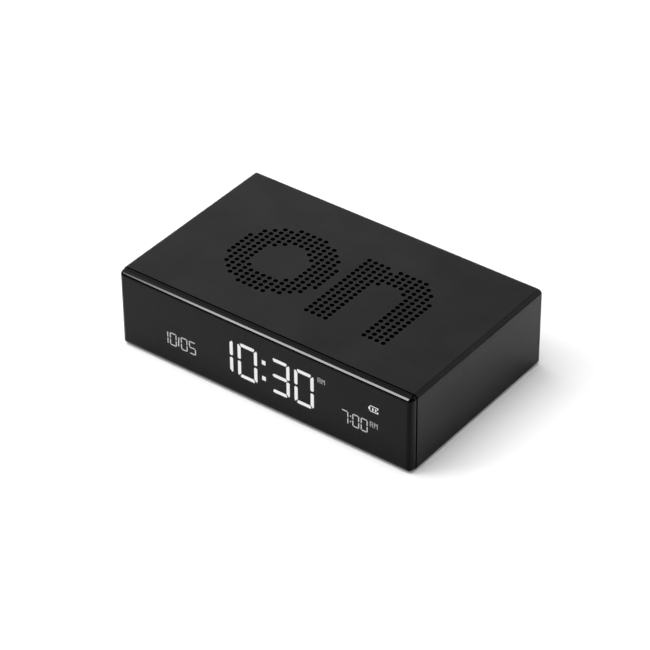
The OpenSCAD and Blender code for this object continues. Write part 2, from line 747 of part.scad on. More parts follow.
module chassis_tray() {
    color([0.2, 0.2, 0.21]) difference() {
        union() {
            block([-tray_hw, tray_hw], [tray_front, tray_rear], [tray_bottom, tray_floor]);
            block([-tray_hw, tray_hw], [tray_front, tray_wall_back], [tray_floor, tray_top]);
            for (side = [0, 1]) mirror([side, 0, 0])
                block([tray_in, tray_hw], [tray_wall_back, tray_rear], [tray_floor, tray_top]);
            frame_screw_places() along_y(tray_wall_back, tray_front + boss_l) circle(boss_d / 2);
            for (at = board_screw_at) translate([at[0], at[1], tray_floor])
                cylinder(h = board_bottom - tray_floor, r = boss_d / 2);
            for (at = ear_at) translate([at[0], at[1], tray_floor])
                cylinder(h = rim_z - rim_t - tray_floor, r = boss_d / 2);
            translate([cell_x, cell_y, tray_floor]) for (x = [0, 1], y = [0, 1])
                mirror([x, 0, 0]) mirror([0, y, 0]) cell_rib();
        }
        frame_screw_places() along_y(tray_front - cut, tray_front + boss_l + cut) circle(pilot_r);
        for (at = board_screw_at) translate([at[0], at[1], tray_bottom - cut])
            cylinder(h = board_bottom - tray_bottom + 2 * cut, r = pilot_r);
        for (at = ear_at) translate([at[0], at[1], tray_floor + tray_t])
            cylinder(h = rim_z, r = pilot_r);
        translate([speaker_x, word_y, tray_bottom - cut]) cylinder(h = tray_t + 2 * cut, r = vent_d / 2);
        block([flex_x - flex_w / 2 - slide, flex_x + flex_w / 2 + slide],
            [tray_front - cut, tray_wall_back + cut], [stack_z + rear_glass_h, body_h]);
        for (side = [0, 1]) mirror([side, 0, 0])
            block([tray_in - cut, tray_hw + cut],
                [cover_back - snap_l - fit, cover_back - snap_l + barb_l + fit],
                [mid_z - snap_w / 2 - slide, mid_z + snap_w / 2 + slide]);
    }
}

module display_panel() {
    color([0.35, 0.38, 0.4]) {
        block([-panel_w / 2, panel_w / 2], [frame_shoulder, frame_shoulder + glass_t],
            [stack_z, stack_z + panel_h]);
        block([-panel_w / 2, panel_w / 2], [frame_shoulder + glass_t, diffuser_y],
            [stack_z, stack_z + rear_glass_h]);
    }
}

module diffuser_sheet() {
    color([0.95, 0.95, 0.95]) block([-panel_w / 2, panel_w / 2], [diffuser_y, guide_y],
        [stack_z, stack_z + rear_glass_h]);
}

module light_guide() {
    side = panel_w / 2 - lamp_space;
    color([0.85, 0.9, 0.95]) block([-side, side], [guide_y, lamp_board_y],
        [stack_z, stack_z + rear_glass_h]);
}

module backlight_board() {
    color([0.9, 0.9, 0.88]) block([-panel_w / 2, panel_w / 2], [lamp_board_y, stack_back],
        [stack_z, stack_z + rear_glass_h]);
}

module backlight_lamps() {
    lamp_x = (panel_w - lamp_space) / 2;
    color([1, 0.95, 0.7]) for (x = [-lamp_x, lamp_x], z = [1, 3])
        translate([x, lamp_board_y - lamp_d / 2, stack_z + z * rear_glass_h / 4])
            cube([lamp_w, lamp_d, lamp_h], center = true);
}

// Flex from the contact ledge of the panel over the tray wall and down to the board
flex_top = stack_z + rear_glass_h + ledge_h / 2;
flex_down = tray_wall_back + flex_gap;
flex_end = board_top + flex_connector_h / 2;
flex_path = round_path([[frame_shoulder + glass_t + flex_t / 2, stack_z + panel_h],
    [frame_shoulder + glass_t + flex_t / 2, flex_top],
    [flex_down, flex_top], [flex_down, flex_end],
    [board_y0 + flex_bend, flex_end]], flex_bend, bend_steps);

module display_flex() {
    color([0.75, 0.5, 0.15]) translate([flex_x - flex_w / 2, 0, 0])
        rotate([90, 0, 90]) linear_extrude(flex_w) strip(flex_path, flex_t);
}

module flex_connector() {
    y = board_y0 + flex_bend;
    half_w = flex_w / 2 + flex_connector_side;
    color([0.9, 0.88, 0.8]) block([flex_x - half_w, flex_x + half_w],
        [y, y + flex_connector_d], [board_top, board_top + flex_connector_h]);
}

module main_board() {
    color([0.05, 0.3, 0.15]) translate([0, 0, board_bottom]) linear_extrude(board_t)
        difference() {
            translate([0, (board_y0 + board_y1) / 2])
                round_rect(2 * board_hw, board_y1 - board_y0, board_r);
            for (at = board_screw_at) translate(at) circle(screw_d / 2 + through_gap);
            for (at = ear_at) translate(at) circle(boss_d / 2 + through_gap);
            translate([battery_connector_at[0], wire_y])
                obround(wire_gap + wire_d + 4 * through_gap, wire_d + 2 * through_gap);
        }
}

module board_screws() {
    color([0.6, 0.6, 0.62]) for (at = board_screw_at) translate([at[0], at[1], board_top]) screw();
}

// Box that stands on the board
module on_board(at, size) {
    translate([at[0] - size[0] / 2, at[1] - size[1] / 2, board_top]) cube(size);
}

module controller_chip() {
    color([0.08, 0.08, 0.08]) on_board(chip_at, [chip_w, chip_w, chip_h]);
}

module power_chips() {
    color([0.08, 0.08, 0.08]) for (at = power_at) on_board(at, [power_w, power_w, power_h]);
}

module timing_crystal() {
    color([0.75, 0.75, 0.77]) translate([crystal_at[0], crystal_at[1], board_top + crystal_d / 2])
        rotate([90, 0, 0]) cylinder(h = crystal_l, r = crystal_d / 2, center = true);
}

module capacitors() {
    color([0.2, 0.22, 0.3]) for (at = cap_at) translate([at[0], at[1], board_top])
        cylinder(h = cap_h, r = cap_d / 2);
}

module battery_connector() {
    color([0.92, 0.9, 0.85]) on_board(battery_connector_at, connector);
}

module speaker_connector() {
    color([0.92, 0.9, 0.85]) on_board(speaker_connector_at, connector);
}

module socket_shell() {
    mouth_y = cover_face - socket_in;
    color([0.7, 0.7, 0.72]) translate([0, 0, mid_z]) along_y(mouth_y - socket_l, mouth_y)
        difference() {
            obround(socket_w, socket_h);
            obround(socket_w - 2 * socket_t, socket_h - 2 * socket_t);
        }
}

module socket_tongue() {
    mouth_y = cover_face - socket_in;
    block_w = socket_w - 2 * (socket_t + screw_gap);
    block_h = socket_h - 2 * (socket_t + screw_gap);
    color([0.08, 0.08, 0.08]) translate([0, 0, mid_z]) {
        along_y(mouth_y - socket_l, mouth_y - socket_l + tongue_block) obround(block_w, block_h);
        along_y(mouth_y - socket_l + tongue_block, mouth_y - tongue_in)
            square([tongue_w, tongue_t], center = true);
    }
}

module tact_switches() {
    color([0.15, 0.15, 0.15]) for (x = button_x) difference() {
        block([x - switch_w / 2, x + switch_w / 2], [switch_front - switch_d, switch_front],
            [board_top, board_top + switch_h]);
        translate([x, 0, mid_z])
            along_y(switch_front - plunger_in - button_travel - fit, switch_front + cut)
                circle(plunger_d / 2 + plunger_gap);
    }
}

// Cap of one button with its flange and stem
module button(i) {
    color([0.12, 0.12, 0.13]) translate([button_x[i], 0, mid_z]) {
        along_y(flange_back + button_flange_t, cover_face + button_proud)
            obround(button_w, button_h);
        along_y(flange_back, flange_back + button_flange_t)
            obround(button_w + 2 * button_flange, button_h + 2 * button_flange);
        along_y(switch_front + plunger_out, flange_back) circle(plunger_d / 2);
    }
}

module hour_button() {
    button(0);
}

module minute_button() {
    button(1);
}

module alarm_button() {
    button(2);
}

module light_button() {
    button(3);
}

// Plunger of the switch behind one button
module plunger(i) {
    color([0.7, 0.7, 0.68]) translate([button_x[i], 0, mid_z])
        along_y(switch_front - plunger_in, switch_front + plunger_out) circle(plunger_d / 2);
}

module hour_plunger() {
    plunger(0);
}

module minute_plunger() {
    plunger(1);
}

module alarm_plunger() {
    plunger(2);
}

module light_plunger() {
    plunger(3);
}

module touch_pad() {
    color([0.75, 0.42, 0.2]) translate([pad_x - pad_w / 2, word_y - pad_l / 2, roof_z - pad_t])
        cube([pad_w, pad_l, pad_t]);
}

// One unbroken coil between the board and the touch pad
module touch_spring() {
    sides = 8;
    steps = 12;
    r = (spring_d - spring_wire) / 2;
    low = board_top + spring_wire / 2;
    rise = roof_z - pad_t - spring_wire / 2 - low;
    lean = atan(rise / (360 * spring_turns) * 180 / PI / r);
    points = [for (i = [0:spring_turns * steps]) let (a = 360 * i / steps)
        for (k = [0:sides - 1]) let (b = 360 * k / sides, out = cos(b), up = sin(b) * cos(lean))
            [cos(a) * (r + out * spring_wire / 2) + sin(a) * sin(b) * sin(lean) * spring_wire / 2,
                sin(a) * (r + out * spring_wire / 2) - cos(a) * sin(b) * sin(lean) * spring_wire / 2,
                low + rise * i / (spring_turns * steps) + up * spring_wire / 2]];
    color([0.8, 0.7, 0.4]) translate([pad_x, word_y, 0])
        polyhedron(points, tube_faces(spring_turns * steps + 1, sides));
}

module tilt_base() {
    color([0.1, 0.1, 0.1]) translate([tilt_at[0], tilt_at[1], board_top])
        cylinder(h = tilt_base_h, r = tilt_d / 2);
}

module tilt_can() {
    color([0.8, 0.7, 0.4]) translate([tilt_at[0], tilt_at[1], board_top + tilt_base_h])
        difference() {
            cylinder(h = tilt_h, r = tilt_d / 2);
            translate([0, 0, -cut]) cylinder(h = tilt_h - tilt_wall + cut, r = tilt_d / 2 - tilt_wall);
        }
}

module tilt_ball() {
    r = tilt_d / 2 - tilt_wall - tilt_gap;
    color([0.8, 0.8, 0.82])
        translate([tilt_at[0], tilt_at[1], board_top + tilt_base_h + screw_gap + r]) sphere(r);
}

module battery_cell() {
    color([0.6, 0.62, 0.65]) translate([cell_x, 0, cell_z + cell_t / 2])
        along_y(cell_back - cell_l, cell_back) round_rect(cell_w, cell_t, cell_r);
}

module battery_tape() {
    w = cell_w / 2 - cell_r;
    color([0.9, 0.9, 0.8]) block([cell_x - w, cell_x + w], [cell_back - cell_l, cell_back],
        [tray_floor, cell_z]);
}

module battery_lead() {
    z0 = cell_z + cell_t / 2;
    z1 = board_top + connector_h / 2;
    connector_back = battery_connector_at[1] + connector_d / 2;
    path = round_path([[cell_back, z0], [wire_y, z0], [wire_y, z1], [connector_back, z1]],
        wire_bend, bend_steps);
    for (i = [0, 1]) color([0.7 - 0.6 * i, 0.08, 0.08])
        translate([battery_connector_at[0] + (i - 0.5) * wire_gap, 0, 0]) rotate(90) wire(path, wire_d);
}

// Speaker pieces are drawn about their own axis from the top of the rim
module at_speaker() {
    translate([speaker_x, word_y, rim_z]) children();
}

module speaker_basket() {
    foot_r = yoke_r + basket_t;
    color([0.3, 0.3, 0.32]) at_speaker() {
        difference() {
            rotate_extrude() polygon([[speaker_r, 0], [rim_in, 0], [rim_in, -rim_t],
                [foot_r - basket_t, basket_t - basket_h], [yoke_in, basket_t - basket_h],
                [yoke_in, -basket_h], [foot_r, -basket_h], [rim_in + basket_t, -rim_t],
                [speaker_r, -rim_t]]);
            for (i = [0:basket_windows - 1]) rotate(360 * (i + 0.5) / basket_windows)
                translate([foot_r + basket_t, -basket_window_w / 2, basket_t - basket_h])
                    cube([rim_in - foot_r - 2 * basket_t, basket_window_w, basket_h - rim_t - basket_t]);
        }
        for (a = ear_angles) rotate(a) difference() {
            translate([0, 0, -rim_t]) linear_extrude(rim_t) difference() {
                union() {
                    translate([ear_r, 0]) circle(boss_d / 2);
                    translate([rim_in, -boss_d / 2]) square([ear_r - rim_in, boss_d]);
                }
                circle(speaker_r);
                translate([ear_r, 0]) circle(screw_d / 2 + through_gap);
            }
        }
        translate([speaker_r - tab_l, -tab_w / 2, -rim_t - tab_t]) cube([2 * tab_l, tab_w, tab_t]);
    }
}

module speaker_yoke() {
    color([0.5, 0.5, 0.52]) translate([speaker_x, word_y, yoke_top - yoke_h]) difference() {
        cylinder(h = yoke_h, r = yoke_r);
        translate([0, 0, yoke_floor]) cylinder(h = yoke_h, r = yoke_in);
    }
}

module speaker_magnet() {
    color([0.7, 0.7, 0.72]) translate([speaker_x, word_y, yoke_top - yoke_h + yoke_floor])
        cylinder(h = magnet_h, r = magnet_r);
}

module pole_plate() {
    color([0.5, 0.5, 0.52]) translate([speaker_x, word_y, yoke_top - yoke_h + yoke_floor + magnet_h])
        cylinder(h = pole_h, r = magnet_r);
}

module voice_coil() {
    foot = yoke_floor + magnet_h - yoke_h - basket_h;
    color([0.7, 0.35, 0.15]) at_speaker() translate([0, 0, foot]) difference() {
        cylinder(h = -cone_h - foot, r = coil_r + coil_t);
        translate([0, 0, -cut]) cylinder(h = 2 * cut - cone_h - foot, r = coil_r);
    }
}

module speaker_cone() {
    cap_r = (pow(coil_r, 2) + pow(cap_rise, 2)) / (2 * cap_rise);
    color([0.15, 0.15, 0.16]) at_speaker() {
        rotate_extrude() polygon([[coil_r, -cone_h], [coil_r + coil_t, -cone_h],
            [cone_r - cone_t, -cone_t], [cone_r, -cone_t], [cone_r, 0], [cone_r - 2 * cone_t, 0],
            [coil_r, cone_t - cone_h]]);
        translate([0, 0, cone_t - cone_h]) intersection() {
            cylinder(h = cap_rise, r = coil_r);
            translate([0, 0, cap_rise - cap_r]) difference() {
                sphere(cap_r, $fn = dust_cap_fn);
                sphere(cap_r - cone_t, $fn = dust_cap_fn);
            }
        }
    }
}

module speaker_surround() {
    color([0.05, 0.05, 0.05]) at_speaker() rotate_extrude() {
        translate([rim_in, 0]) square([lip_w, cone_t]);
        translate([cone_r - 2 * cone_t, 0]) square([2 * cone_t, cone_t]);
        translate([roll_mid, 0]) intersection() {
            difference() {
                circle(roll_r + cone_t / 2);
                circle(roll_r - cone_t / 2);
            }
            translate([-2 * roll_r, 0]) square([4 * roll_r, 2 * roll_r]);
        }
    }
}

module speaker_gasket() {
    color([0.1, 0.1, 0.1]) translate([speaker_x, word_y, lip_z]) difference() {
        cylinder(h = gasket_t, r = rim_in + lip_w);
        translate([0, 0, -cut]) cylinder(h = gasket_t + 2 * cut, r = rim_in + cone_t);
    }
}

module speaker_screws() {
    color([0.6, 0.6, 0.62]) for (at = ear_at) translate([at[0], at[1], rim_z]) screw();
}

module speaker_lead() {
    z0 = rim_z - rim_t - tab_t / 2;
    path = round_path([[tab_x, z0], [speaker_connector_at[0], z0],
        [speaker_connector_at[0], board_top + connector_h]], wire_bend, bend_steps);
    for (i = [0, 1]) color([0.7 - 0.6 * i, 0.08, 0.08])
        translate([0, word_y + (i - 0.5) * wire_gap, 0]) wire(path, wire_d);
}

housing_sleeve();
front_lens();
lens_tape();
display_frame();
frame_screws();
rear_cover();
upper_grille_cloth();
lower_grille_cloth();
chassis_tray();
display_panel();
diffuser_sheet();
light_guide();
backlight_board();
backlight_lamps();
display_flex();
flex_connector();
main_board();
board_screws();
controller_chip();
power_chips();
timing_crystal();
capacitors();
battery_connector();
speaker_connector();
socket_shell();
socket_tongue();
tact_switches();
touch_pad();
touch_spring();
hour_button();
minute_button();
alarm_button();
light_button();
hour_plunger();
minute_plunger();
alarm_plunger();
light_plunger();
tilt_base();
tilt_can();
tilt_ball();
battery_cell();
battery_tape();
battery_lead();
speaker_basket();
speaker_yoke();
speaker_magnet();
pole_plate();
voice_coil();
speaker_cone();
speaker_surround();
speaker_gasket();
speaker_screws();
speaker_lead();
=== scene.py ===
"""Looks of a flat digital alarm clock that is turned over to switch its alarm.

The perforated sleeve, the pillowed lens, the lit figures, the setting buttons, the socket contacts
and the speaker's surround are made here as fine meshes. Every other piece keeps its solid shape
and gets a finish. Sizes are in millimetres of the solid model's frame unless a class says
otherwise, and the meshes come out in metres.
"""
import logging
from dataclasses import dataclass, field, replace
from enum import Enum
from math import asin, cos, degrees, hypot, pi, radians, sin
from typing import Collection, Iterable, NamedTuple, Sequence

import bpy
from mathutils import Matrix, Vector


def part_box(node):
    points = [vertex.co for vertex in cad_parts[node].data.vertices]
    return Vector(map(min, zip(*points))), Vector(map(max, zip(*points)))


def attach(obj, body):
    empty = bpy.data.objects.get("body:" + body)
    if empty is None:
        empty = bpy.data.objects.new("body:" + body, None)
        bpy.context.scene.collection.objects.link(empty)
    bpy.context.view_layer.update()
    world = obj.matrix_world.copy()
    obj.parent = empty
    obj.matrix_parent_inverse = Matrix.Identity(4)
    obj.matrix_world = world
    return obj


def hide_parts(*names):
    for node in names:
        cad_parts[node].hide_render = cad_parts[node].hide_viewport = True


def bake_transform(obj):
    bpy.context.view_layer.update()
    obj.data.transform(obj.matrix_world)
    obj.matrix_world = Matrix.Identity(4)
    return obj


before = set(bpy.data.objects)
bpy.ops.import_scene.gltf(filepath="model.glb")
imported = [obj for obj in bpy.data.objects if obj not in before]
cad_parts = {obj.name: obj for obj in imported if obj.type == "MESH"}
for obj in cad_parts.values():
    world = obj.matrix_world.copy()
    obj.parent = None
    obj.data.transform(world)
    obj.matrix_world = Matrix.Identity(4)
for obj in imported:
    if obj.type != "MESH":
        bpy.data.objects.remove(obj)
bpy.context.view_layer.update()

log = logging.getLogger("clock")

MM = 0.001
Point = tuple[float, float, float]
Flat = tuple[float, float]
Box = tuple[float, float, float, float]
Shapes = list[list[Flat]]
Colour = tuple[float, float, float]
Socket = bpy.types.NodeSocket


class Tree:
    """Node tree of one material or light, filled node by node."""

    def __init__(self, tree: bpy.types.NodeTree) -> None:
        """Take the tree to fill."""
        self.nodes, self.links = tree.nodes, tree.links

    def add(self, kind: str, settings: dict | None = None, *first, **inputs) -> bpy.types.Node:
        """Add one node and fill its inputs.

        Args:
            kind: Type of the node without its prefix.
            settings: Attributes of the node.
            *first: Values or sockets of its first inputs.
            **inputs: Values or sockets by input name, with underscores for spaces.

        Returns:
            The new node.
        """
        node = self.nodes.new("ShaderNode" + kind)
        for key, value in (settings or {}).items():
            setattr(node, key, value)
        named = [(node.inputs[key.replace("_", " ")], value) for key, value in inputs.items()]
        for socket, value in [*zip(node.inputs, first), *named]:
            self.fill(socket, value)
        return node

    def fill(self, socket: Socket, value: object) -> None:
        """Link a socket to another one, or set its value."""
        if isinstance(value, Socket):
            self.links.new(value, socket)
        else:
            socket.default_value = value

    def noise(self, place: Socket, size: float, detail: float) -> Socket:
        """Add a noise with grains of this size in millimetres."""
        return self.add("TexNoise", Vector=place, Scale=1 / (size * MM), Detail=detail).outputs[0]

    def spread(self, value: Socket, low: float, high: float) -> Socket:
        """Stretch the middle of a noise over a range."""
        return self.add("MapRange", Value=value, From_Min=0.3, From_Max=0.7, To_Min=low,
                        To_Max=high).outputs[0]


class Grain(Enum):
    """Surface detail of a finish."""

    SPARK = "spark"
    PEEL = "peel"
    BRUSHED = "brushed"
    WOVEN = "woven"
    FIBRE = "fibre"
    WOUND = "wound"


SPARK, PEEL, BRUSHED, WOVEN, FIBRE, WOUND = Grain
DETAIL = {SPARK: 6.0, PEEL: 2.0, BRUSHED: 4.0}


@dataclass(frozen=True)
class Finish:
    """Procedural finish of one kind of piece.

    Colours are linear, grain and mottle sizes are in millimetres.
    """

    name: str
    dark: Colour
    light: Colour
    rough: Flat
    grain: Grain = SPARK
    size: float = 0.12
    depth: float = 0.1
    mottle: float = 9.0
    metal: float = 0.0
    level: float = 0.5
    edge: float = 0.0
    wear: float = 0.0
    glow: float = 0.0
    clear: float = 0.0

    SHADES = (0.0, 0.7)
    MOTTLE_DETAIL = 5.0
    SHEEN_SHARE = 0.35
    SHEEN_DETAIL = 3.0
    BRUSH_SCALE = (0.06, 1.0, 1.0)
    WAVE_SCALE = 0.25
    WEAVE_STRAY = 0.6
    EDGE_SAMPLES = 6
    WORN_FACING = 0.8
    UNLIT = (0.02, 0.02, 0.02, 1.0)

    def height(self, tree: Tree, place: Socket) -> Socket:
        """Add the texture that the relief follows.

        Args:
            tree: Tree of the material.
            place: Coordinates in metres.

        Returns:
            Height socket of the texture.
        """
        if self.grain is BRUSHED:
            place = tree.add("Mapping", Vector=place, Scale=self.BRUSH_SCALE).outputs[0]
        if self.grain is FIBRE:
            scale = 1 / (self.size * MM)
            return tree.add("TexVoronoi", Vector=place, Scale=scale).outputs["Distance"]
        if self.grain in DETAIL:
            return tree.noise(place, self.size, DETAIL[self.grain])
        ways, stray = ("XY", self.WEAVE_STRAY) if self.grain is WOVEN else ("Z", 0.0)
        threads = [tree.add("TexWave", {"wave_type": "BANDS", "bands_direction": way},
                            Vector=place, Scale=self.WAVE_SCALE / (self.size * MM),
                            Distortion=stray).outputs["Fac"] for way in ways]
        if len(threads) == 1:
            return threads[0]
        return tree.add("Math", {"operation": "MULTIPLY"}, *threads).outputs[0]

    def material(self) -> bpy.types.Material:
        """Build the material once.

        Returns:
            The material of this finish.
        """
        if self.name in bpy.data.materials:
            return bpy.data.materials[self.name]
        material = bpy.data.materials.new(self.name)
        material.use_nodes = True
        material.node_tree.nodes.clear()
        tree = Tree(material.node_tree)
        place = tree.add("TexCoord").outputs["Object"]
        shade = tree.spread(tree.noise(place, self.mottle, self.MOTTLE_DETAIL), *self.SHADES)
        sheen = tree.noise(place, self.mottle * self.SHEEN_SHARE, self.SHEEN_DETAIL)
        rough = tree.spread(sheen, *self.rough)
        bump = tree.add("Bump", Strength=self.depth, Distance=self.size * MM,
                        Height=self.height(tree, place))
        if self.edge:
            rounded = tree.add("Bevel", {"samples": self.EDGE_SAMPLES},
                               Radius=self.edge * MM).outputs[0]
            tree.fill(bump.inputs["Normal"], rounded)
            if self.wear:
                plain = tree.add("NewGeometry").outputs["Normal"]
                facing = tree.add("VectorMath", {"operation": "DOT_PRODUCT"}, rounded, plain)
                worn = tree.add("MapRange", Value=facing.outputs["Value"], From_Min=1.0,
                                From_Max=self.WORN_FACING, To_Min=0.0, To_Max=self.wear).outputs[0]
                shade = tree.add("Math", {"operation": "ADD"}, shade, worn).outputs[0]
        ramp = tree.add("ValToRGB", Fac=shade)
        for stop, colour in zip(ramp.color_ramp.elements, (self.dark, self.light)):
            stop.color = (*colour, 1.0)
        shader = tree.add("BsdfPrincipled", Metallic=self.metal, Roughness=rough,
                          Specular_IOR_Level=self.level, Transmission_Weight=self.clear,
                          Normal=bump.outputs[0])
        tree.fill(shader.inputs["Emission Color" if self.glow else "Base Color"], ramp.outputs[0])
        if self.glow:
            shader.inputs["Base Color"].default_value = self.UNLIT
            shader.inputs["Emission Strength"].default_value = self.glow
        tree.add("OutputMaterial", Surface=shader.outputs[0])
        return material

    def dress(self, piece: bpy.types.Object) -> None:
        """Give a piece this finish, in its first material slot."""
        if not piece.material_slots:
            piece.data.materials.append(None)
        for slot in piece.material_slots:
            slot.material = self.material()


def moulded(name: str, grey: float, rough: Flat, **more) -> Finish:
    """Make a moulded plastic of an even grey, given at its darkest."""
    pale = grey * 1.4 + 0.001
    return Finish(name, (grey, grey, grey), (pale, pale, pale), rough, **more)


def plated(name: str, colour: Colour, rough: Flat, **more) -> Finish:
    """Make a metal of this colour with a slightly duller second tone."""
    dull = tuple(value * 0.72 for value in colour)
    return Finish(name, dull, colour, rough, metal=1.0, **more)


def tinted(name: str, colour: Colour, rough: Flat, **more) -> Finish:
    """Make a plastic, foil or coat of this colour with a darker second tone."""
    deep = tuple(value * 0.8 for value in colour)
    return Finish(name, deep, colour, rough, **more)


SATIN_BLACK = moulded("satin_black", 0.007, (0.21, 0.25), size=0.1, depth=0.028, mottle=16.0, level=0.093)
# Painted shade: the walls of the holes get a darker, duller black than the sleeve, so the holes read as
# deep shade.
BORE_PAINTED_SHADE = moulded("bore_black", 0.0012, (0.7, 0.85), size=0.05, mottle=1.0, level=0.05)
COVER_BLACK = moulded("cover_black", 0.009, (0.44, 0.52), size=0.14, depth=0.25, edge=0.18,
                      wear=0.3, level=0.25)
POLISHED_LENS = moulded("polished_lens", 0.0005, (0.012, 0.025), grain=PEEL, size=4.0,
                        depth=0.002, mottle=14.0, level=0.1415)
KEY_BLACK = moulded("key_black", 0.02, (0.35, 0.45), size=0.08, depth=0.12, level=0.45)
KEY_PRINT = tinted("key_print", (0.62, 0.62, 0.6), (0.5, 0.6), size=0.05, mottle=1.0)
LIT_FIGURE = Finish("lit_figure", (0.84, 0.85, 0.87), (0.9, 0.9, 0.9), (0.3, 0.4), glow=0.93,
                    grain=PEEL, size=0.4, depth=0.02, mottle=3.0, level=0.2)
FINE_FIGURE = replace(LIT_FIGURE, name="fine_figure", glow=0.64)
DIM_FIGURE = replace(LIT_FIGURE, name="dim_figure", dark=(0.3, 0.3, 0.31),
                     light=(0.34, 0.34, 0.34), glow=0.9)
GOLD_CONTACT = plated("gold_contact", (0.9, 0.62, 0.24), (0.2, 0.3), size=0.06, depth=0.05, mottle=0.8)
ROLL_RUBBER = moulded("roll_rubber", 0.01, (0.55, 0.7), size=0.2, depth=0.15)


def around(outline: Sequence) -> list[tuple]:
    """Pair each corner of an outline with the next one."""
    return list(zip(outline, [*outline[1:], outline[0]]))


def mirrored(half: Sequence[Flat]) -> list[Flat]:
    """Close a shape with the mirror image of its right half."""
    return [*half, *((-x, z) for x, z in reversed(half))]


def box(left: float, right: float, low: float, high: float) -> list[Flat]:
    """Give an upright rectangle by its sides."""
    return [(left, low), (right, low), (right, high), (left, high)]


def wheel(radius: float, count: int) -> list[Flat]:
    """Give points evenly spaced on a circle, anticlockwise from the right."""
    turns = [2 * pi * i / count for i in range(count)]
    return [(radius * cos(turn), radius * sin(turn)) for turn in turns]


def stroke(start: Flat, end: Flat, width: float) -> list[Flat]:
    """Give a straight stroke with square ends.

    Args:
        start: Middle of one end.
        end: Middle of the other end.
        width: Width of the stroke.

    Returns:
        Corners of the stroke.
    """
    run, rise = end[0] - start[0], end[1] - start[1]
    length = hypot(run, rise)
    x, z = -rise / length * width / 2, run / length * width / 2
    return [(start[0] + x, start[1] + z), (end[0] + x, end[1] + z),
            (end[0] - x, end[1] - z), (start[0] - x, start[1] - z)]


class Station(NamedTuple):
    """Ring of points at one place along Y; its normals lean by a tilt, in degrees, towards +Y.

    The side is 1 for an outer face and -1 for an inner one.
    """

    outline: "Outline"
    y: float
    tilt: float
    side: int = 1

    def corners(self) -> list[tuple[Point, Point]]:
        """Return each point of the ring with its normal."""
        flat = cos(radians(self.tilt)) * self.side
        lean = sin(radians(self.tilt))
        return [((x, self.y, z), (nx * flat, lean, nz * flat)) for x, z, nx, nz in self.outline.ring()]


@dataclass(frozen=True)
class Outline:
    """Upright rectangle with round corners and extra points along its top and bottom."""

    half_w: float
    low: float
    high: float
    radius: float
    top: tuple[float, ...] = ()
    bottom: tuple[float, ...] = ()
    middle: float = 0.0
    steps: int = 8

    def inset(self, by: float) -> "Outline":
        """Return the same outline drawn in all round."""
        return replace(self, half_w=self.half_w - by, low=self.low + by, high=self.high - by,
                       radius=max(self.radius - by, 0.0))

    def ring(self) -> list[tuple[float, ...]]:
        """Return the points clockwise from the upper left, with their outward normals."""
        reach = self.half_w - self.radius
        low, high = self.low + self.radius, self.high - self.radius
        points = [(x, self.high, 0.0, 1.0) for x in (self.middle - reach, *self.top)]
        for side, z, start in ((1, high, 90), (1, low, 0), (-1, low, -90), (-1, high, 180)):
            if start == -90:
                points += [(x, self.low, 0.0, -1.0) for x in reversed(self.bottom)]
            for step in range(self.steps + 1):
                angle = radians(start - 90 * step / self.steps)
                nx, nz = cos(angle), sin(angle)
                points.append((self.middle + side * reach + self.radius * nx,
                               z + self.radius * nz, nx, nz))
        return points[:-1]

    def flats(self) -> set[int]:
        """Return the numbers of the segments along the top and the bottom."""
        first = len(self.top) + 2 * self.steps + 2
        return {*range(len(self.top) + 1), *range(first, first + len(self.bottom) + 1)}


